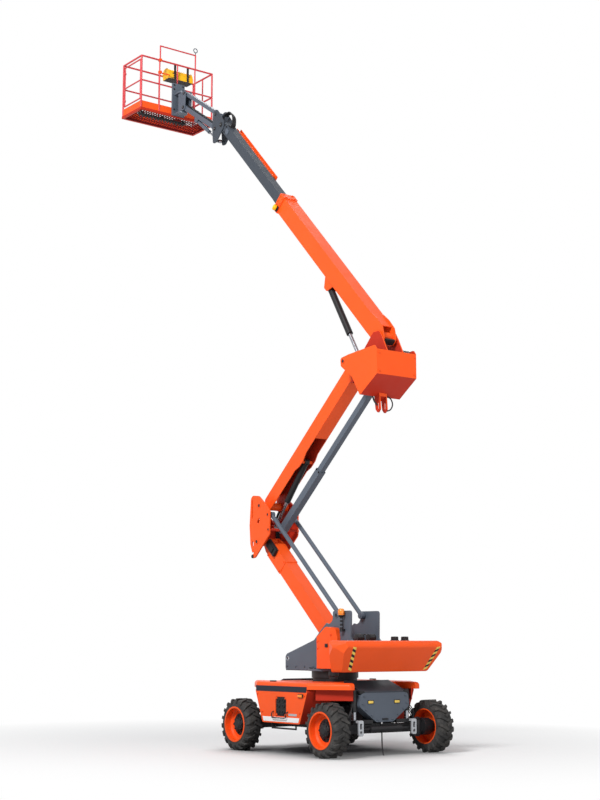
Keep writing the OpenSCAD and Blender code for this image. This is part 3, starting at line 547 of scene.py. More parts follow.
@dataclass(frozen=True)
class Repeat:
    """A small part repeated over many spots by Geometry Nodes.

    Attributes:
        unit: Which part.
        size: Its length, width and height.
        finish: Its finish.
        slot: The record's material slot; not used.
    """

    unit: Unit
    size: Triple
    finish: Finish
    slot: str

    def lay(self, name: str, body: str, spots: Sequence[Spot]) -> bpy.types.Object:
        """Makes one plain mesh of all the parts.

        Args:
            name: Name of the piece.
            body: The body it rides on.
            spots: Where the parts stand.

        Returns:
            The new object.
        """
        data = bpy.data.meshes.new(name + "_spots")
        data.from_pydata([spot.at for spot in spots], [], [])
        for key in ("facing", "heading"):
            store = data.attributes.new(key, "FLOAT_VECTOR", "POINT")
            store.data.foreach_set("vector", [part for spot in spots for part in getattr(spot, key)])
        holder = bpy.data.objects.new(name + "_spots", data)
        bpy.context.scene.collection.objects.link(holder)
        tree = self._tree()
        sockets = {item.name: item.identifier for item in tree.interface.items_tree
                   if item.in_out == "INPUT"}
        modifier = holder.modifiers.new("repeat", "NODES")
        modifier.node_group = tree
        for label, value in zip((*SPANS, "Material"), (*self.size, self.finish.material())):
            modifier[sockets[label]] = value
        graph = bpy.context.evaluated_depsgraph_get()
        plain = bpy.data.meshes.new_from_object(holder.evaluated_get(graph))
        plain.name = name
        holder.modifiers.remove(modifier)
        bpy.data.objects.remove(holder)
        return place_piece(name, plain, body)

    def _tree(self) -> Tree:
        """Builds the node tree of this part once.

        Returns:
            The node tree.
        """
        known = bpy.data.node_groups.get(self.unit.value)
        if known is not None:
            return known
        tree = bpy.data.node_groups.new(self.unit.value, "GeometryNodeTree")
        for label, way, kind in (("Spots", "INPUT", "Geometry"), *((span, "INPUT", "Float") for span in SPANS),
                                 ("Material", "INPUT", "Material"), ("Parts", "OUTPUT", "Geometry")):
            tree.interface.new_socket(label, in_out=way, socket_type="NodeSocket" + kind)
        given = tree.nodes.new("NodeGroupInput")
        copies = add_node(tree, "GeometryNodeInstanceOnPoints", {
            "Points": given.outputs["Spots"], "Instance": self._unit_mesh(given),
            "Rotation": self._aligned(tree)})
        real = add_node(tree, "GeometryNodeRealizeInstances", {"Geometry": copies.outputs["Instances"]})
        painted = add_node(tree, "GeometryNodeSetMaterial", {
            "Geometry": real.outputs["Geometry"], "Material": given.outputs["Material"]})
        add_node(tree, "NodeGroupOutput", {"Parts": painted.outputs["Geometry"]})
        return tree

    def _aligned(self, tree: Tree) -> Socket:
        """Gives the rotation that follows each spot's facing and heading.

        Args:
            tree: The node tree.

        Returns:
            The rotation socket.
        """
        turned: dict[str, Socket] = {}
        for key, axis, pivot in (("facing", "Z", "AUTO"), ("heading", "X", "Z")):
            read = add_node(tree, "GeometryNodeInputNamedAttribute", {"Name": key}, data_type="FLOAT_VECTOR")
            node = add_node(tree, "FunctionNodeAlignRotationToVector",
                            {"Vector": read.outputs["Attribute"], **turned}, axis=axis, pivot_axis=pivot)
            turned = {"Rotation": node.outputs["Rotation"]}
        return turned["Rotation"]

    def _block(self, given: bpy.types.Node, share: Triple, shift: Triple) -> Socket:
        """Adds a block sized and moved by shares of the tree's inputs.

        Args:
            given: The tree's group input node.
            share: Share of length, width and height that the block takes.
            shift: Its middle, as shares of length, width and height.

        Returns:
            The block's geometry socket.
        """
        tree = given.id_data
        whole = add_node(tree, "ShaderNodeCombineXYZ",
                         {axis: given.outputs[label] for label, axis in zip(SPANS, "XYZ")})
        size, place = (add_node(tree, "ShaderNodeVectorMath", {0: whole.outputs["Vector"], 1: parts},
                                operation="MULTIPLY").outputs["Vector"] for parts in (share, shift))
        block = add_node(tree, "GeometryNodeMeshCube", {"Size": size})
        return add_node(tree, "GeometryNodeTransform", {
            "Geometry": block.outputs["Mesh"], "Translation": place}).outputs["Geometry"]

    def _round(self, given: bpy.types.Node, sides: int, wide: float, low: float, high: float,
               top: float = 1.0) -> Socket:
        """Adds an upright round or many-sided stud.

        Args:
            given: The tree's group input node.
            sides: Number of sides.
            wide: Radius as a share of the length.
            low: Foot as a share of the height.
            high: Top as a share of the height.
            top: Radius of the top as a share of the foot's.

        Returns:
            The stud's geometry socket.
        """
        tree = given.id_data
        foot, head, depth, rise = (
            add_node(tree, "ShaderNodeMath", {0: given.outputs[label], 1: share},
                     operation="MULTIPLY").outputs["Value"]
            for label, share in (("Length", wide), ("Length", wide * top), ("Height", high - low),
                                 ("Height", low)))
        stud = add_node(tree, "GeometryNodeMeshCone", {
            "Vertices": sides, "Radius Bottom": foot, "Radius Top": head, "Depth": depth})
        lift = add_node(tree, "ShaderNodeCombineXYZ", {"Z": rise})
        return add_node(tree, "GeometryNodeTransform", {
            "Geometry": stud.outputs["Mesh"], "Translation": lift.outputs["Vector"]}).outputs["Geometry"]

    def _unit_mesh(self, given: bpy.types.Node) -> Socket:
        """Gives the geometry of one part, standing on its foot.

        Args:
            given: The tree's group input node.

        Returns:
            The part's geometry socket.
        """
        rounds, blocks = {
            Unit.BOLT: (((16, 0.72, 0.0, 0.22), (6, 0.5, 0.2, 0.9), (6, 0.5, 0.9, 1.0, 0.86)), ()),
            Unit.LINK: ((), (((1.08, 0.12, 1.0), (0.0, 0.42, 0.0)), ((1.08, 0.12, 1.0), (0.0, -0.42, 0.0)),
                             ((0.5, 0.8, 0.18), (0.0, 0.0, 0.36)), ((0.5, 0.8, 0.18), (0.0, 0.0, -0.36)),
                             ((0.3, 1.0, 0.3), (0.5, 0.0, 0.0)))),
            Unit.TOOTH: (((4, 0.7, 0.0, 1.0, 0.45),), (((1.1, 1.0, 0.25), (0.0, 0.0, 0.1)),)),
            Unit.CLIP: ((), (((1.0, 1.0, 0.6), (0.0, 0.0, 0.3)), ((0.5, 0.7, 1.0), (0.0, 0.0, 0.5)))),
        }[self.unit]
        joined = given.id_data.nodes.new("GeometryNodeJoinGeometry")
        for part in [self._round(given, *row) for row in rounds] + [self._block(given, *row) for row in blocks]:
            feed(joined, {"Geometry": part})
        return joined.outputs["Geometry"]


@dataclass(frozen=True)
class Line:
    """A boom's own axes: along it, across it and up from it.

    Attributes:
        foot: Its lower pin.
        tip: Its upper pin.
    """

    foot: Vector
    tip: Vector

    def length(self) -> float:
        """Gives the distance between its pins."""
        return (self.tip - self.foot).length

    def turn(self) -> Matrix:
        """Gives the matrix from the boom's axes to the row frame.

        Returns:
            The matrix.
        """
        ahead = (self.tip - self.foot).normalized()
        axes = Matrix((ahead, LEFT, ahead.cross(LEFT))).transposed()
        return Matrix.Translation(self.foot) @ axes.to_4x4()

    def at(self, along: float, side: float, up: float) -> Vector:
        """Gives a place from its distances along, across and up."""
        return self.turn() @ Vector((along, side, up))

    def way(self, along: float, side: float, up: float) -> Vector:
        """Gives a direction from its parts along, across and up."""
        return self.turn().to_3x3() @ Vector((along, side, up))


LOWER = Line(joint_at("lower_lift"), joint_at("knee_level"))
SECOND = Line(joint_at("second_lift"), joint_at("knuckle_level"))
MAIN = Line(joint_at("main_lift"), joint_at("tip_level"))
JIB = Line(joint_at("jib_lift"), joint_at("jib_level"))
BOLT_SIZE = (0.028, 0.028, 0.016)
DARK_BOLT = Repeat(Unit.BOLT, BOLT_SIZE, BLACK, "black_steel")
PAINT_BOLT = Repeat(Unit.BOLT, BOLT_SIZE, ORANGE, "orange_paint")
SLATE_BOLT = Repeat(Unit.BOLT, BOLT_SIZE, SLATE, "grey_paint")


def hose_run(shape: Shape, line: Line, start: float, stop: float, sides: Sequence[float],
             ups: Sequence[float], radius: float) -> None:
    """Lays parallel hoses along a boom, with a gland at each end.

    Args:
        shape: The mesh that takes them.
        line: The boom's axes.
        start: Where they begin along the boom.
        stop: Where they end.
        sides: Their distances across the boom.
        ups: Their distances up from its axis.
        radius: Their radius.
    """
    steps = 24
    half = 1.35 * radius
    for up in ups:
        for k, side in enumerate(sides):
            path = [line.at(start + (stop - start) * i / steps, side + 0.003 * math.sin(1.3 * i + k), up)
                    for i in range(steps + 1)]
            shape.tube(path, radius, HOSE, sides=8)
            for end in (start, stop):
                shape.box((end - 0.025, side - half, up - half), (end + 0.025, side + half, up + half), BLACK,
                          0.003, line.turn())


def clip_run(name: str, body: str, line: Line, size: Triple, first: Triple, step: float,
             count: int) -> None:
    """Sets clips over the hoses of a boom.

    Args:
        name: Name of the piece.
        body: The body it rides on.
        line: The boom's axes.
        size: Length, width and height of a clip.
        first: The first clip's distances along, across and up; one off the middle faces sideways.
        step: Distance between two clips.
        count: Number of clips.
    """
    along, side, up = first
    facing, heading = (-LEFT, line.way(0.0, 0.0, 1.0)) if side else (line.way(0.0, 0.0, 1.0), LEFT)
    spots = [Spot(line.at(along + step * i, side, up), facing, heading) for i in range(count)]
    Repeat(Unit.CLIP, size, BLACK, "black_plastic").lay(name, body, spots)


def free_hose(name: str, route: Sequence[Vector], radius: float, body: Optional[str]) -> bpy.types.Object:
    """Makes one free hose.

    Args:
        name: Name of the piece.
        route: Points that its middle line passes, from where it leaves the object.
        radius: Its radius.
        body: The body it rides on, or None to leave it unattached.

    Returns:
        The hose.
    """
    path = eased_path(route, 7)
    shape = Shape()
    shape.tube(path, radius, HOSE, 12)
    hose = shape.piece(name, body)
    return hose


def pin_cap(shape: Shape, at: Vector, axis: Vector, radius: float, finish: Finish = ORANGE) -> None:
    """Closes a pin's end with a retaining ring and a sunk dark middle.

    Args:
        shape: The mesh that takes it.
        at: Middle of the pin's end on the plate.
        axis: Outward direction.
        radius: Radius of the pin.
        finish: Finish of the ring.
    """
    shape.lathe([(radius + 0.014, 0.0), (radius + 0.014, 0.005), (radius + 0.009, 0.009), (radius, 0.009),
                 (radius, 0.003), (0.0, 0.003)], at, axis, finish)
    shape.lathe([(radius * 0.8, 0.003), (radius * 0.8, 0.006), (0.0, 0.007)], at, axis, BLACK)


@dataclass
class RunningGear:
    """Hubs, wheel nuts and valves of the four wheels."""

    disc: float = 0.024
    hub: float = 0.122
    nut_ring: float = 0.15
    nuts: int = 10
    cap_ring: float = 0.105
    cap_bolts: int = 8

    def build(self) -> None:
        """Dresses every wheel."""
        for corner in CORNERS:
            self._wheel(corner)

    def _wheel(self, corner: str) -> None:
        """Adds a hub with its nuts and bolts, a valve and a painted shade line round the rim.

        Args:
            corner: Which wheel.
        """
        body = "wheel_" + corner
        centre = joint_at(body)
        out = LEFT * math.copysign(1.0, centre.y)
        face = centre + out * self.disc
        shape = Shape()
        shape.lathe([(0.182, 0.0), (0.182, 0.008), (0.172, 0.012), (self.hub + 0.004, 0.012), (self.hub, 0.02),
                     (self.hub, 0.05), (0.114, 0.058), (0.1, 0.06), (0.094, 0.072), (0.07, 0.076),
                     (0.062, 0.084), (0.0, 0.086)], face, out, BLACK, 40)
        valve = face + UP * 0.212
        shape.tube([valve, valve + out * 0.03, valve + out * 0.05 + UP * 0.01], 0.006, ZINC, 8)
        # Painted shade: a thin darker red ring round the rim.
        shape.ring(centre + out * 0.152, out, 0.279, 0.006, PAINTED_SHADE_ORANGE)
        shape.piece("hub_" + corner, body)
        nuts = [Spot(face + out * 0.012 + radial * self.nut_ring, out, radial)
                for radial in (Vector((c, 0.0, s)) for c, s in around(self.nuts))]
        DARK_BOLT.lay("wheel_nuts_" + corner, body, nuts)
        caps = [Spot(face + out * 0.06 + Vector((c, 0.0, s)) * self.cap_ring, out, AHEAD)
                for c, s in around(self.cap_bolts)]
        DARK_BOLT.lay("hub_bolts_" + corner, body, caps)


@dataclass
class Chassis:
    """Bands, panels, lamps, reflectors, strap and hoses of the base."""

    flank: float = 1.15
    cover_x: float = 1.31

    def build(self) -> None:
        """Makes the trim of the base."""
        for side, label in zip(SIGNS, ("left", "right")):
            self._flank(side, label)
            self._axle_hoses(side, label)
        for end, label in ((-1.0, "rear"), (1.0, "front")):
            self._cover(end, label)
        self._strap()

    def _flank(self, side: float, label: str) -> None:
        """Dresses one long side: dark band, pale strip, plate, socket panel, guard bar and lamp.

        Args:
            side: 1 on the left, -1 on the right.
            label: Ending of the pieces' names.
        """
        y = side * self.flank
        out = LEFT * side
        turn = Matrix.Translation(machine(0.0, y, 0.0)) @ Matrix.Rotation(math.pi / 2, 4, "X")
        shape = Shape()
        for (left, right, low, high), flare, sunk, proud, finish, edge in (
                ((-0.7, 0.7, 1.012, 1.104), 0.012, 0.002, 0.004, BAND, 0.0015),
                ((-0.485, 0.485, 0.522, 0.598), 0.03, 0.002, 0.004, WHITE, 0.0015),
                ((-0.44, -0.22, 0.626, 0.662), 0.0, 0.001, 0.003, SILVER, 0.001),
                ((-0.145, 0.145, 0.616, 0.924), 0.0, 0.018, -0.008, PLASTIC, 0.003)):
            shape.prism([(left, low), (right, low), (right + flare, high), (left - flare, high)], side * sunk,
                        -side * proud, finish, turn, edge)
        for x in (-0.07, 0.07):
            for z in (0.68, 0.78, 0.87):
                shape.lathe([(0.036, 0.0), (0.036, 0.012), (0.03, 0.016), (0.024, 0.016), (0.024, 0.006),
                             (0.0, 0.006)], machine(x, y - side * 0.009, z), out, BLACK, 20)
        half = [(-0.2, -0.005, 0.69), (-0.2, 0.03, 0.675), (-0.2, 0.045, 0.64), (-0.19, 0.045, 0.602),
                (-0.15, 0.045, 0.588)]
        bar = [machine(x, y + side * d, z) for x, d, z in half + [(-x, d, z) for x, d, z in reversed(half)]]
        shape.tube(eased_path(bar, 5), 0.009, BLACK, 10)
        shape.box(machine(-0.62, y, 0.925), machine(-0.49, y + side * 0.02, 0.985), BLACK)
        shape.box(machine(-0.61, y, 0.933), machine(-0.5, y + side * 0.034, 0.977), AMBER, 0.008)
        socket = min(y, y - side * 0.12)
        shape.box(machine(0.28, socket, 1.166), machine(0.4, socket + 0.06, 1.19), BLACK, 0.008)
        shape.piece("flank_trim_" + label, "chassis")
        spots = [Spot(machine(x, y - side * 0.008, z), out, AHEAD)
                 for x in (-0.125, 0.125) for z in (0.635, 0.905)]
        spots += [Spot(machine(x, y, z), out, AHEAD)
                  for x, z in ((-0.66, 0.97), (0.66, 0.97), (-0.52, 0.68), (0.52, 0.68))]
        PAINT_BOLT.lay("flank_bolts_" + label, "chassis", spots)

    def _axle_hoses(self, side: float, label: str) -> None:
        """Runs drive hoses and a damper beside the steered axle.

        Args:
            side: 1 on the left, -1 on the right.
            label: Ending of the pieces' names.
        """
        for k in range(4):
            route = [machine(x - dx * k, side * (y + dy * k), z + dz * k) for x, dx, y, dy, z, dz in (
                (-1.13, 0.02, 0.5, 0.01, 0.74, 0.03), (-1.16, 0.02, 0.58, 0.01, 0.74, 0.02),
                (-1.18, 0.025, 0.65, 0.006, 0.66, 0.01), (-1.19, 0.02, 0.672, 0.0, 0.58, 0.012),
                (-1.17, 0.02, 0.66, 0.0, 0.5, 0.0))]
            free_hose(f"axle_hose_{label}_{k}", route, 0.0085, "chassis")
        foot = machine(-1.2, side * 0.56, 0.505)
        shape = Shape()
        shape.lathe([(0.05, 0.0), (0.05, 0.02), (0.034, 0.024), (0.034, 0.2), (0.052, 0.204), (0.052, 0.5),
                     (0.046, 0.51), (0.046, 0.555), (0.0, 0.555)], foot, UP, BLACK, 24)
        shape.lathe([(0.038, 0.06), (0.038, 0.2), (0.0, 0.2)], foot, UP, CHROME, 24)
        shape.piece("axle_damper_" + label, "chassis")

    def _cover(self, end: float, label: str) -> None:
        """Dresses one end cover: reflectors, lugs, fixing bolts and a pull handle.

        Args:
            end: 1 at the front, -1 at the rear.
            label: Ending of the pieces' names.
        """
        x = end * self.cover_x
        shape = Shape()
        for y in (-0.26, 0.3):
            shape.box(machine(x, y - 0.062, 0.832), machine(x + end * 0.006, y + 0.062, 0.892), BLACK, 0.002)
            shape.box(machine(x, y - 0.05, 0.842), machine(x + end * 0.011, y + 0.05, 0.882), REFLECTOR, 0.003)
        shape.box(machine(x, -0.06, 0.575), machine(x + end * 0.02, 0.06, 0.6), BLACK, 0.005)
        for y in (-0.47, 0.47):
            shape.box(machine(x, y - 0.05, 0.995), machine(x - end * 0.12, y + 0.05, 1.045), BLACK, 0.008)
        shape.piece("cover_trim_" + label, "chassis")
        spots = [Spot(machine(x, s * y, z), AHEAD * end, LEFT) for s in (-1.0, 1.0) for y, z in (
            (0.44, 0.96), (0.47, 0.84), (0.4, 0.74), (0.28, 0.655), (0.16, 0.58))]
        SLATE_BOLT.lay("cover_bolts_" + label, "chassis", spots)

    def _strap(self) -> None:
        """Hangs the earthing strap under the rear cover."""
        route = [machine(*point) for point in (
            (-1.27, 0.04, 0.54), (-1.275, 0.04, 0.44), (-1.28, 0.042, 0.3), (-1.29, 0.046, 0.16),
            (-1.31, 0.05, 0.06), (-1.33, 0.054, 0.012))]
        free_hose("earth_strap", route, 0.011, "chassis")
        shape = Shape()
        shape.lathe([(0.02, 0.0), (0.02, 0.03), (0.012, 0.034), (0.0, 0.034)], machine(-1.27, 0.04, 0.512), UP,
                    ZINC, 16)
        shape.piece("strap_clamp", "chassis")


@dataclass
class Turret:
    """Stripes, caps, hoses and fixings on the slewing part."""

    rear_top: tuple[float, float] = (-1.62, 1.76)
    rear_low: tuple[float, float] = (-1.335, 1.352)
    stripe_cells: int = 9
    cover_y: float = 0.4653
    plate_y: float = 0.315

    def build(self) -> None:
        """Makes the trim of the turret."""
        self._stripes()
        self._tail()
        self._beacon()
        self._fixings()

    def _rear(self, y: float, share: float, proud: float = 0.003) -> Vector:
        """Gives a place on the raked rear face.

        Args:
            y: Place across the machine.
            share: 0 at the upper edge, 1 at the lower.
            proud: Height above the face.

        Returns:
            The place in the row frame.
        """
        (xa, za), (xb, zb) = self.rear_top, self.rear_low
        run = Vector((xb - xa, 0.0, zb - za)).normalized()
        return machine(xa + (xb - xa) * share, y, za + (zb - za) * share) - proud * run.cross(LEFT)

    def _stripes(self) -> None:
        """Tapes slanting yellow and black stripes near both ends of the rear face."""
        shape = Shape()
        for side, edge in ((1.0, 0.9), (-1.0, 0.97)):
            for i in range(self.stripe_cells):
                a, b = (0.05 + 0.92 * n / self.stripe_cells for n in (i, i + 1))
                front = []
                for share, inset in ((a, 0.068), (a - 0.07, 0.0), (b - 0.07, 0.0), (b, 0.068)):
                    share = min(max(share, 0.02), 0.97)
                    front.append(self._rear(side * (edge - 0.1 * share - inset), share))
                back = [point + Vector((0.006, 0.0, 0.004)) for point in front]
                shape.take(shell(back, front), REFLECTOR if i % 2 == 0 else BLACK)
        shape.piece("tail_stripes", "turret")

    def _tail(self) -> None:
        """Sets filler caps and hose rolls on the counterweight."""
        shape = Shape()
        for y in (-0.2, -0.42):
            shape.lathe([(0.072, 0.0), (0.072, 0.012), (0.062, 0.016), (0.062, 0.06), (0.054, 0.068),
                         (0.0, 0.07)], machine(-1.34, y, 1.848), UP, PLASTIC, 24)
        for y in (0.47, 0.22):
            middle = machine(-1.24, y, 1.9)
            shape.lathe([(0.04, -0.07), (0.056, -0.066), (0.056, -0.058), (0.044, -0.054), (0.044, 0.054),
                         (0.056, 0.058), (0.056, 0.066), (0.04, 0.07)], middle, LEFT, BLACK, 28)
            for k in range(4):
                shape.ring(middle + LEFT * (-0.036 + 0.024 * k), LEFT, 0.046, 0.01, HOSE)
            shape.box(machine(-1.28, y - 0.05, 1.845), machine(-1.2, y + 0.05, 1.868), BLACK)
        for k in range(2):
            route = [machine(x, y - dy * k, z) for x, y, dy, z in (
                (-1.2, 0.39, 0.12, 1.93), (-1.1, 0.36, 0.11, 1.95), (-1.0, 0.3, 0.1, 1.87),
                (-0.93, 0.25, 0.1, 1.7), (-0.9, 0.22, 0.1, 1.45))]
            free_hose(f"tail_hose_{k}", route, 0.01, "turret")
        shape.lathe([(0.085, 0.0), (0.085, 0.07), (0.07, 0.08), (0.07, 0.12), (0.0, 0.12)],
                    machine(-0.52, 0.44, 1.34), -UP, BLACK, 24)
        shape.piece("tail_fittings", "turret")

    def _beacon(self) -> None:
        """Puts rings on the beacon's stand."""
        shape = Shape()
        foot = machine(-0.65, 0.377, 2.0)
        for low in (0.07, 0.13, 0.19):
            shape.lathe([(0.0255, low), (0.0255, low + 0.022), (0.0, low + 0.022)], foot, UP, SLATE, 24)
        shape.ring(foot + UP * 0.29, UP, 0.056, 0.003, BLACK)
        shape.piece("beacon_rings", "turret")

    def _fixings(self) -> None:
        """Bolts the covers and plates and adds door handles."""
        shape = Shape()
        for side in SIGNS:
            y = side * self.cover_y
            shape.box(machine(-0.4, y, 1.74), machine(-0.33, y + side * 0.018, 1.8), BLACK, 0.006)
            for x, z in ((-0.1, 1.8), (-0.44, 2.27)):
                pin_cap(shape, machine(x, side * self.plate_y, z), LEFT * side, 0.034, SLATE)
            shape.ring(machine(0.93, side * self.plate_y, 1.54), LEFT, 0.031, 0.005, SILVER)
        shape.piece("turret_handles", "turret")
        for bolt, name, y, places in (
                (PAINT_BOLT, "cover_bolts_turret", self.cover_y,
                 ((-0.47, 1.95), (-0.12, 1.84), (-0.47, 1.72), (-0.12, 1.72))),
                (SLATE_BOLT, "turret_bolts", self.plate_y,
                 ((0.2, 1.41), (0.45, 1.41), (0.7, 1.41), (0.95, 1.41)))):
            bolt.lay(name, "turret", [Spot(machine(x, side * y, z), LEFT * side, AHEAD)
                                      for side in SIGNS for x, z in places])
        ring = [Spot(machine(0.43 * c, 0.43 * s, 1.38), UP, AHEAD) for c, s in around(24)]
        DARK_BOLT.lay("slew_bolts", "turret", ring)


@dataclass
class Risers:
    """Pins, hoses and stops of the lower boom, knee, second boom and knuckle."""

    knee_face: float = 0.33
    knuckle_face: float = 0.435

    def build(self) -> None:
        """Makes the trim of both risers."""
        self._lower()
        self._knee()
        self._second()
        self._knuckle()

    def _lower(self) -> None:
        """Clips hoses to the far side of the lower boom and sets a dark block with a pad at its upper end,
        partly a rubber guard and partly painted shade.
        """
        turn, end = LOWER.turn(), LOWER.length()
        shape = Shape()
        hose_run(shape, LOWER, 0.35, 1.85, (-0.139,), (0.05, 0.016, -0.018), 0.013)
        # Dark block and pad: partly a rubber guard, partly painted shade of the dark gap at the boom's upper
        # end.
        shape.box((end - 0.42, 0.136, 0.0), (end - 0.1, 0.2, 0.165), BLACK, 0.02, turn)
        shape.box((end - 0.36, 0.196, 0.03), (end - 0.16, 0.225, 0.14), PLASTIC, 0.012, turn)
        shape.piece("lower_boom_hoses", "lower_boom")
        clip_run("lower_boom_clips", "lower_boom", LOWER, (0.12, 0.03, 0.03), (0.45, -0.125, 0.016), 0.22, 7)
        spots = [Spot(LOWER.at(a, s * 0.134, u), LEFT * s, LOWER.way(1.0, 0.0, 0.0))
                 for a in (end - 0.68, end - 0.24) for u in (-0.1, 0.1) for s in (-1.0, 1.0)]
        PAINT_BOLT.lay("lower_boom_bolts", "lower_boom", spots)

    def _knee(self) -> None:
        """Caps the knee's pins and adds its rubber stops and hoses."""
        shape = Shape()
        p = LOWER.tip
        pins = ((p, 0.035), (SECOND.foot, 0.035), (p + Vector((-0.34, 0.0, 0.47)), 0.025),
                (joint_at("link_swing"), 0.025))
        for side in SIGNS:
            for pin, radius in pins:
                pin_cap(shape, Vector((pin.x, side * self.knee_face, pin.z)), LEFT * side, radius)
            shape.lathe([(0.03, 0.0), (0.034, 0.006), (0.034, 0.046), (0.028, 0.052), (0.0, 0.052)],
                        Vector((p.x + 0.128, side * 0.29, p.z - 0.262)), LEFT * side, PLASTIC, 20)
        for k in range(3):
            route = [p + Vector((x, -0.2 - 0.03 * k, z)) for x, z in (
                (0.02, -0.16), (0.1, 0.05), (0.13, 0.3), (0.1, 0.5), (-0.01, 0.62))]
            free_hose(f"knee_hose_{k}", route, 0.013, "knee")
        shape.piece("knee_pins", "knee")

    def _second(self) -> None:
        """Runs hoses inside the second boom's channel and bolts its link."""
        shape = Shape()
        hose_run(shape, SECOND, 0.25, 2.45, (-0.09, -0.05, 0.05, 0.09), (-0.118,), 0.014)
        shape.piece("second_boom_hoses", "second_boom")
        clip_run("second_boom_clips", "second_boom", SECOND, (0.24, 0.03, 0.036), (0.4, 0.0, -0.136), 0.36, 5)
        link = Line(joint_at("link_swing"), joint_at("link_swing") + SECOND.tip - SECOND.foot)
        straps = [Spot(link.at(1.49, s * 0.066, u), LEFT * s, link.way(1.0, 0.0, 0.0))
                  for s in (-1.0, 1.0) for u in (-0.04, 0.04)]
        DARK_BOLT.lay("second_link_bolts", "second_link", straps)

    def _knuckle(self) -> None:
        """Caps the knuckle's pins and hangs its hose loops."""
        shape = Shape()
        q, m = SECOND.tip, MAIN.foot
        back = m.x - 0.3
        for side in SIGNS:
            pin_cap(shape, Vector((q.x, side * self.knuckle_face, q.z)), LEFT * side, 0.035)
        loop = [q + Vector((-0.5 - 0.03 * s, -0.082 - 0.1325 * s, -0.7525 + 0.1325 * c))
                for c, s in around(8)[:5]]
        free_hose("knuckle_hose_far", loop, 0.0115, "knuckle")
        near = [q + Vector(c) for c in ((-0.34, 0.13, -0.47), (-0.42, 0.14, -0.6), (-0.46, 0.13, -0.72),
                                        (-0.49, 0.082, -0.79))]
        free_hose("knuckle_hose_near", near, 0.014, "knuckle")
        for k in range(4):
            route = [Vector((back + x, -0.22 - 0.05 * k, m.z - z)) for x, z in (
                (0.29, 0.46), (0.27, 0.36), (0.21, 0.27), (0.14, 0.24), (0.075, 0.28))]
            free_hose(f"knuckle_hose_{k}", route, 0.008, "knuckle")
        shape.lathe([(0.0, -0.1), (0.05, -0.1), (0.055, -0.09), (0.055, 0.09), (0.05, 0.1), (0.0, 0.1)],
                    Vector((back + 0.13, -0.3, m.z - 0.32)), LEFT, SILVER, 24)
        shape.piece("knuckle_fittings", "knuckle")
        spots = [Spot(Vector((back, y, m.z - drop)), -AHEAD, LEFT)
                 for y in (-0.39, 0.39) for drop in (0.66, 0.36)]
        PAINT_BOLT.lay("knuckle_bolts", "knuckle", spots)


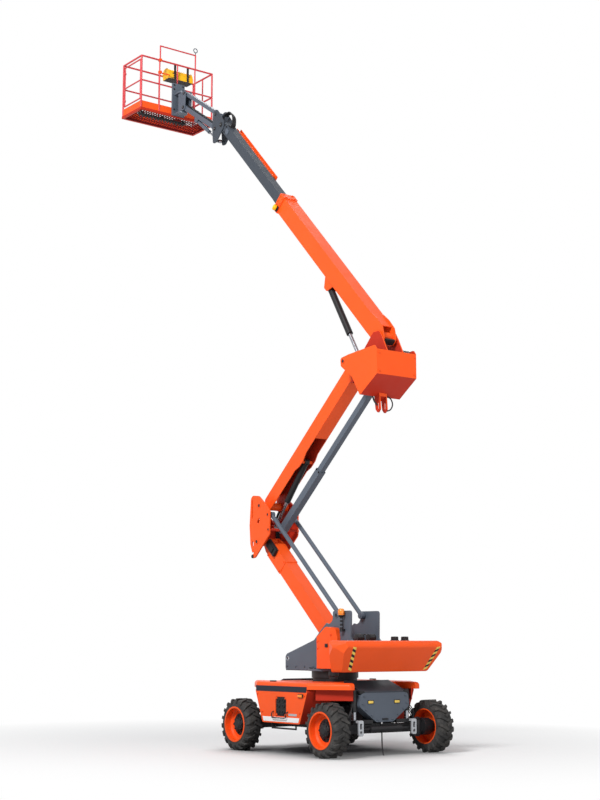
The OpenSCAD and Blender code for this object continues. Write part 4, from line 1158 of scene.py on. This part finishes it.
@dataclass
class MainBoom:
    """Collar, lamp, cable chain and hoses of the telescoping boom."""

    length: float = 4.23
    half_wide: float = 0.158
    half_high: float = 0.173
    chain_side: float = -0.235
    chain_up: float = -0.0317
    chain_start: float = 4.53
    chain_run: float = 1.6
    chain_back: float = 0.3
    loop: float = 0.12
    pitch: float = 0.05
    tip: float = MAIN.length()

    def build(self) -> None:
        """Makes the trim of the main and fly booms."""
        self._collar()
        self._foot()
        self._chain()
        self._head()

    def _collar(self) -> None:
        """Bolts the front collar, pads the fly and fits the lamp."""
        turn, end, wide = MAIN.turn(), self.length, self.half_wide
        shape = Shape()
        for side in SIGNS:
            shape.box((end - 0.02, side * 0.1, -0.07), (end + 0.012, side * 0.13, 0.07), SILVER, turn=turn)
            shape.box((end - 0.02, -0.07, side * 0.1), (end + 0.012, 0.07, side * 0.14), SILVER, turn=turn)
        shape.box((end - 0.16, wide - 0.004, -0.15), (end - 0.04, wide + 0.02, -0.05), BLACK, turn=turn)
        shape.lathe([(0.05, 0.0), (0.056, 0.01), (0.056, 0.05), (0.045, 0.062), (0.0, 0.07)],
                    MAIN.at(end - 0.1, wide + 0.015, -0.1), LEFT + MAIN.way(0.6, 0.0, 0.0), YELLOW, 24)
        shape.piece("collar_trim", "main_boom")
        spots = [Spot(MAIN.at(end - d, s * wide, u), LEFT * s, MAIN.way(1.0, 0.0, 0.0))
                 for d in (0.13, 0.03) for u in (0.02, 0.12) for s in (-1.0, 1.0)]
        spots += [Spot(MAIN.at(end - d, y, s * self.half_high), MAIN.way(0.0, 0.0, s), LEFT)
                  for d in (0.13, 0.03) for y in (-0.1, 0.1) for s in (-1.0, 1.0)]
        PAINT_BOLT.lay("collar_bolts", "main_boom", spots)

    def _foot(self) -> None:
        """Pads the boom's rear end and runs hoses along its far side."""
        shape = Shape()
        shape.box((-0.17, -0.1, -0.05), (-0.13, 0.1, 0.06), PLASTIC, 0.01, MAIN.turn())
        hose_run(shape, MAIN, 0.55, 3.95, (-0.153,), (0.06, 0.03), 0.012)
        shape.piece("main_boom_hoses", "main_boom")
        clip_run("main_boom_clips", "main_boom", MAIN, (0.1, 0.03, 0.03), (0.65, -0.14, 0.045), 0.4, 9)

    def _chain(self) -> None:
        """Links the cable chain along its tray and round its loop, and lays hoses in the tray."""
        start, run, up, radius = self.chain_start, self.chain_run, self.chain_up, self.loop
        bend = math.pi * radius
        spots = []
        for i in range(int((run + bend + self.chain_back) / self.pitch)):
            s = (i + 0.5) * self.pitch
            turned = min(max(s - run, 0.0), bend) / radius
            straight = run - s if s < run else max(s - run - bend, 0.0)
            along = start + straight - radius * math.sin(turned)
            high = up - radius + radius * math.cos(turned)
            angle = math.pi + turned
            facing = MAIN.way(-math.sin(angle), 0.0, math.cos(angle))
            heading = MAIN.way(math.cos(angle), 0.0, math.sin(angle))
            spots.append(Spot(MAIN.at(along, self.chain_side, high), facing, heading))
        links = Repeat(Unit.LINK, (self.pitch, 0.07, 0.038), PLASTIC, "black_plastic")
        chain = links.lay("chain_links", "fly_boom", spots)
        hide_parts("cable_chain")
        shape = Shape()
        for k in range(3):
            route = [MAIN.at(along, self.chain_side - 0.025 + 0.025 * k, up + rise) for along, rise in (
                (start + run - 0.06, 0.0), (start + run + 0.25, -0.002), (self.tip - 0.35, 0.0),
                (self.tip - 0.2, 0.004), (self.tip - 0.14, 0.03))]
            shape.tube(eased_path(route), 0.011, HOSE, 8)
        shape.piece("tray_hoses", "fly_boom")

    def _head(self) -> None:
        """Bends hoses from the fly's head over to the jib and trims the head."""
        tip, turn = self.tip, MAIN.turn()
        for k in range(4):
            route = [MAIN.at(tip + past, -0.045 + 0.03 * k, up + rise * k) for past, up, rise in (
                (-0.24, 0.08, 0.0), (-0.22, 0.16, 0.012), (-0.12, 0.25, 0.014), (0.03, 0.26, 0.01),
                (0.12, 0.2, 0.0), (0.16, 0.13, 0.0))]
            loop = free_hose(f"head_hose_{k}", route, 0.013, None)
            MAIN.at(tip - 0.18, 0.0, 0.1)
            MAIN.at(tip + 0.13, 0.0, 0.1)
            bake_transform(loop)
        shape = Shape()
        shape.box((tip - 0.27, -0.07, 0.092), (tip - 0.18, 0.07, 0.115), BLACK, 0.006, turn)
        shape.box((tip - 0.33, 0.092, -0.05), (tip - 0.215, 0.11, 0.05), SLATE, 0.005, turn)
        shape.piece("fly_head_trim", "fly_boom")
        spots = [Spot(MAIN.at(tip - d, 0.095, u), LEFT, MAIN.way(1.0, 0.0, 0.0))
                 for d in (0.18, 0.1) for u in (-0.06, 0.06)]
        DARK_BOLT.lay("fly_head_bolts", "fly_boom", spots)


@dataclass
class Jib:
    """Pins and hoses of the jib."""

    base_face: float = 0.121
    head_face: float = 0.084

    def build(self) -> None:
        """Makes the trim of the jib."""
        shape = Shape()
        hose_run(shape, JIB, 0.12, JIB.length() - 0.12, (-0.03, 0.0, 0.03), (0.062,), 0.011)
        shape.piece("jib_hoses", "jib_arm")
        clip_run("jib_clips", "jib_arm", JIB, (0.1, 0.025, 0.03), (0.2, 0.0, 0.05), 0.28, 5)
        link = joint_at("jib_link_swing")
        for body, face, pins in (
                ("jib_base", self.base_face, ((MAIN.tip, 0.035), (JIB.foot, 0.025), (link, 0.02))),
                ("jib_head", self.head_face, ((JIB.tip, 0.025), (JIB.tip + link - JIB.foot, 0.02)))):
            caps = Shape()
            for side in SIGNS:
                for at, radius in pins:
                    self._cap(caps, Vector((at.x, side * face, at.z)), LEFT * side, radius)
            caps.piece(body + "_pins", body)

    def _cap(self, shape: Shape, at: Vector, axis: Vector, radius: float) -> None:
        """Adds a plain dark pin head with a zinc bolt."""
        shape.lathe([(radius + 0.012, 0.0), (radius + 0.012, 0.008), (radius + 0.006, 0.012), (0.0, 0.012)], at,
                    axis, BLACK, 24)
        shape.lathe([(0.009, 0.012), (0.009, 0.02), (0.0, 0.02)], at, axis, ZINC, 6)


@dataclass
class Platform:
    """Console controls, toothed strip, cables, latches and rail fittings of the work platform."""

    low: Vector = field(default_factory=lambda: Vector(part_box("platform_floor")[0]))
    high: Vector = field(default_factory=lambda: Vector(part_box("platform_floor")[1]))

    def build(self) -> None:
        """Makes the trim of the platform."""
        self._strip()
        self._console()
        self._lid()
        self._rails()

    def _strip(self) -> None:
        """Hangs a toothed strip under the floor's near edge."""
        x, z = self.low.x + 0.12, self.low.z
        shape = Shape()
        shape.box((x - 0.022, -0.28, z - 0.075), (x + 0.022, 0.88, z - 0.035), PLASTIC, 0.005)
        for y in (-0.22, 0.3, 0.8):
            shape.box((x - 0.015, y - 0.03, z - 0.04), (x + 0.015, y + 0.03, z + 0.004), BLACK, 0.003)
        shape.piece("floor_strip", "platform")
        teeth = [Spot(Vector((x, 0.85 - 0.075 * i, z - 0.07)), -UP, LEFT) for i in range(15)]
        tooth = Repeat(Unit.TOOTH, (0.042, 0.044, 0.055), PLASTIC, "black_plastic")
        tooth.lay("floor_strip_teeth", "platform", teeth)

    def _console(self) -> None:
        """Adds levers, a stop button and cables to the console."""
        low, high = (Vector(corner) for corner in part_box("console"))
        panel = Vector((low.x + 0.14, 0.0, high.z - 0.21))
        shape = Shape()
        for y in (-0.32, 0.08):
            foot = panel + LEFT * y
            shape.lathe([(0.032, 0.0), (0.03, 0.012), (0.018, 0.024), (0.0, 0.024)], foot, UP, BLACK, 20)
            shape.tube([foot, foot + UP * 0.05], 0.006, ZINC, 8)
            shape.lathe([(0.012, 0.045), (0.018, 0.055), (0.019, 0.08), (0.012, 0.092), (0.0, 0.094)], foot, UP,
                        PLASTIC, 16)
        shape.lathe([(0.024, 0.0), (0.024, 0.01), (0.012, 0.012), (0.012, 0.02), (0.03, 0.024), (0.03, 0.034),
                     (0.022, 0.042), (0.0, 0.044)], panel - LEFT * 0.12, UP, RED, 24)
        for k in range(3):
            start, lean = 0.15 - 0.05 * k, 0.04 - 0.02 * k
            route = [Vector((low.x + x, start - lean * share, low.z + z)) for x, share, z in (
                (0.05, 0.0, 0.03), (-0.03, 0.25, -0.005), (-0.065, 0.5, -0.08), (-0.065, 0.75, -0.16),
                (-0.045, 1.0, -0.24))]
            free_hose(f"console_cable_{k}", route, 0.005, "platform")
        shape.piece("console_controls", "platform")

    def _lid(self) -> None:
        """Trims the yellow cover's ends and adds its latches."""
        low, high = (Vector(corner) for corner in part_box("console_cover"))
        shape = Shape()
        middle = Vector((low.x + 0.13, 0.0, high.z - 0.13))
        for y in (-0.413, 0.173):
            arc = [middle + Vector((0.131 * c, y, 0.131 * s)) for c, s in around(40)[:21]]
            shape.tube(arc, 0.005, YELLOW, 8)
        for y in (-0.3, 0.06):
            shape.box((low.x - 0.006, y - 0.03, low.z + 0.012), (low.x + 0.012, y + 0.03, low.z + 0.05), BLACK)
        shape.piece("lid_trim", "console_cover")

    def _rails(self) -> None:
        """Adds the hoop's ring, post brackets, a foot switch and fixing bolts."""
        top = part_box("platform_rails")[1][2]
        x, floor = self.low.x + 0.019, self.high.z
        shape = Shape()
        post = Vector((x, -0.45, top - 0.01))
        shape.tube([post, post + UP * 0.05], 0.008, BLACK, 8)
        shape.ring(post + UP * 0.105, AHEAD, 0.046, 0.01, SLATE)
        for z in (top - 0.33, top - 0.6):
            shape.box((x - 0.03, 0.4, z - 0.03), (x + 0.035, 0.46, z + 0.03), ORANGE, 0.006)
            shape.box((x + 0.012, 0.18, z - 0.012), (x + 0.03, 0.42, z + 0.012), ORANGE)
        shape.box((x + 0.3, -0.3, floor), (x + 0.46, -0.14, floor + 0.06), PLASTIC, 0.01)
        shape.box((x + 0.32, -0.28, floor + 0.055), (x + 0.44, -0.16, floor + 0.075), RED, 0.006)
        shape.piece("platform_fittings", "platform")
        spots = [Spot(Vector((x + 0.022, s * 0.855, floor + z)), AHEAD, LEFT)
                 for s in (-1.0, 1.0) for z in (0.05, 0.11)]
        spots += [Spot(Vector((self.low.x - 0.041, y, floor + z)), -AHEAD, LEFT)
                  for y in (-0.11, 0.11) for z in (0.1, 0.55, 0.64)]
        DARK_BOLT.lay("platform_bolts", "platform", spots)


def split_node(name: str, finish: Finish, inside: Callable[[Vector, Vector], bool]) -> None:
    """Gives the faces of a node that pass a test a second finish.

    Args:
        name: The CAD node.
        finish: Finish of those faces.
        inside: Tells from a face's middle and normal whether it takes the finish.
    """
    data = frame["nodes"][name].data
    data.materials.append(finish.material())
    number = len(data.materials) - 1
    for face in data.polygons:
        if inside(face.center, face.normal):
            face.material_index = number


def split_nodes() -> None:
    """Lays the second colours of nodes that have more than one; the darker red faces and the dark grating are
    painted shade.
    """
    for corner in CORNERS:
        axle = joint_at("wheel_" + corner)
        split_node("rim_" + corner, BLACK,
                   lambda c, n, axle=axle: math.hypot(c.x - axle.x, c.z - axle.z) < 0.14)
    split_node("beacon", BLACK, lambda c, n: c.z < 2.2725)
    split_node("end_covers", GRAPHITE, lambda c, n: c.z > 1.012)
    # Painted shade: the recessed walls of the pods take the darker red.
    split_node("pods", PAINTED_SHADE_ORANGE, lambda c, n: abs(c.y) < 1.121)
    split_node("deck", BLACK, lambda c, n: n.z > 0.9 and math.hypot(c.x - SLEW_X, c.y) < 0.55)
    low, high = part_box("platform_floor")
    kick = high[2] + 0.151
    planes = (low[0] + 0.019, high[0] - 0.019)
    split_node("platform_rails", ORANGE, lambda c, n: c.z < kick and (
        any(abs(abs(c.x - p) - 0.003) < 0.0005 and abs(n.x) > 0.99 for p in planes)
        or (abs(abs(abs(c.y) - 0.881) - 0.003) < 0.0005 and abs(n.y) > 0.99)))
    # Painted shade: the deck's wheel-arch walls below its top and its undersides take the darker red.
    split_node("deck", PAINTED_SHADE_ORANGE, lambda c, n: c.z < 1.06 or n.z < -0.3)
    # Painted shade: the inner faces of the knee's plates take the darker red.
    split_node("knee", PAINTED_SHADE_ORANGE, lambda c, n: abs(c.y) < 0.3065)
    # Painted shade: the knuckle's undersides and the inner faces of its plates take the darker red.
    split_node("knuckle", PAINTED_SHADE_ORANGE, lambda c, n: n.z < -0.3 or (abs(c.y) < 0.421 and abs(n.y) > 0.9))
    # Painted shade: the grating in the middle of the platform floor takes the darker red.
    split_node("platform_floor", SHADED_GRATE, lambda c, n: (
        low[0] + 0.048 < c.x < high[0] - 0.049 and abs(c.y) < 0.851))
    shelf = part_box("console")[0][2] + 0.03
    split_node("console", YELLOW, lambda c, n: c.z > shelf and (
        (abs(n.x) > 0.9 and low[0] + 0.05 < c.x < low[0] + 0.07)
        or (abs(n.y) > 0.9 and min(abs(c.y + 0.42), abs(c.y - 0.18)) < 0.002)))
    # Painted shade: the inner side walls of the second boom's channel take the darker red.
    split_node("second_boom", PAINTED_SHADE_ORANGE, lambda c, n: abs(c.y) < 0.1265 and abs(n.y) > 0.9)
    split_node("level_rods", BLACK, lambda c, n: c.y < 0 and (c - joint_at("rods_swing")).length > 2.35)


@dataclass
class Studio:
    """Floor, lights, background and camera."""

    eye: Vector = field(default_factory=lambda: machine(-20.231, 15.976, 1.839))
    gaze: Vector = field(default_factory=lambda: Vector((0.7886, -0.5935, 0.1607)))
    lens_mm: float = 66.68
    floor_half: float = 90.0
    fade_from: float = 2.5
    fade_to: float = 9.0
    aim: Vector = field(default_factory=lambda: Vector((-1.0, 0.0, 6.0)))

    def build(self) -> None:
        """Makes the whole studio."""
        self._camera()
        self._floor()
        self._world()
        self._lamps()
        bpy.context.scene.view_settings.view_transform = "Standard"

    def _hang(self, name: str, data: bpy.types.ID, place: Vector, gaze: Vector) -> bpy.types.Object:
        """Puts a camera or a lamp in the scene.

        Args:
            name: Its name.
            data: The camera or light.
            place: Where it stands.
            gaze: Where it points.

        Returns:
            The new object.
        """
        item = bpy.data.objects.new(name, data)
        item.location = place
        item.rotation_euler = gaze.to_track_quat("-Z", "Y").to_euler()
        bpy.context.scene.collection.objects.link(item)
        return item

    def _camera(self) -> None:
        """Puts the camera where the photo was taken."""
        data = bpy.data.cameras.new("camera")
        data.sensor_width = 36.0
        data.lens = self.lens_mm
        data.clip_end = 400.0
        bpy.context.scene.camera = self._hang("camera", data, self.eye, self.gaze)

    def _floor(self) -> None:
        """Lays a pale floor, with a painted contact shadow near the machine, that fades into the white
        surround.
        """
        half = self.floor_half
        mesh = bpy.data.meshes.new("floor")
        mesh.from_pydata([(-half, -half, 0), (half, -half, 0), (half, half, 0), (-half, half, 0)], [],
                         [(0, 1, 2, 3)])
        floor = bpy.data.objects.new("floor", mesh)
        bpy.context.scene.collection.objects.link(floor)
        pale = bpy.data.materials.new("pale_floor")
        pale.use_nodes = True
        tree = pale.node_tree
        seen = tree.nodes.new("ShaderNodeLightPath").outputs["Is Camera Ray"]
        # Painted shadow: ambient occlusion darkens the floor colour towards near black under and beside the
        # machine.
        near = add_node(tree, "ShaderNodeAmbientOcclusion", {"Distance": 1.6}, samples=8).outputs["AO"]
        colour = mixed(ranged(near, 0.0, 1.0, 0.25, 0.85), (0.04, 0.04, 0.045),
                       mixed(seen, (0.4, 0.4, 0.4), (0.88, 0.88, 0.88)))
        matt = feed(tree.nodes["Principled BSDF"], {
            "Base Color": colour, "Roughness": 0.9, "Specular IOR Level": 0.1})
        place = tree.nodes.new("ShaderNodeTexCoord").outputs["Object"]
        reach = add_node(tree, "ShaderNodeVectorMath", {0: place}, operation="LENGTH").outputs["Value"]
        blend = add_node(tree, "ShaderNodeMixShader", {
            "Fac": ranged(reach, 0.0, 1.0, self.fade_from, self.fade_to), 1: matt.outputs["BSDF"],
            2: tree.nodes.new("ShaderNodeEmission").outputs["Emission"]})
        feed(tree.nodes["Material Output"], {"Surface": blend.outputs["Shader"]})
        mesh.materials.append(pale)

    def _world(self) -> None:
        """Sets a white background and an even grey sky light."""
        world = bpy.data.worlds.new("studio")
        bpy.context.scene.world = world
        world.use_nodes = True
        tree = world.node_tree
        sky = feed(tree.nodes["Background"], {"Color": (0.94, 0.96, 1.0, 1.0), "Strength": 0.24})
        white = add_node(tree, "ShaderNodeBackground", {"Color": (1.0, 1.0, 1.0, 1.0)})
        path = tree.nodes.new("ShaderNodeLightPath")
        seen = path.outputs["Is Camera Ray"]
        for kind in ("Is Glossy Ray", "Is Transmission Ray"):
            given = {0: seen, 1: path.outputs[kind]}
            seen = add_node(tree, "ShaderNodeMath", given, operation="MAXIMUM").outputs["Value"]
        blend = add_node(tree, "ShaderNodeMixShader", {
            "Fac": seen, 1: sky.outputs["Background"], 2: white.outputs["Background"]})
        feed(tree.nodes["World Output"], {"Surface": blend.outputs["Shader"]})

    def _lamps(self) -> None:
        """Hangs a broad key, a fill and a back light round the machine."""
        for name, place, watts, size in (
                ("key_light", (-14.0, 26.0, 24.0), 11500.0, 9.0),
                ("fill_light", (-32.0, 2.0, 9.0), 1800.0, 16.0),
                ("back_light", (14.0, -12.0, 24.0), 1800.0, 12.0)):
            data = bpy.data.lights.new(name, "AREA")
            data.energy = watts
            data.size = size
            self._hang(name, data, Vector(place), self.aim - Vector(place))


def main() -> None:
    """Builds the studio and dresses the machine."""
    logging.basicConfig(level=logging.INFO, format="%(message)s")
    Studio().build()
    dress_nodes()
    split_nodes()
    for assembly in (RunningGear(), Chassis(), Turret(), Risers(), MainBoom(), Jib(), Platform()):
        assembly.build()


if __name__ == "__main__":
    main()
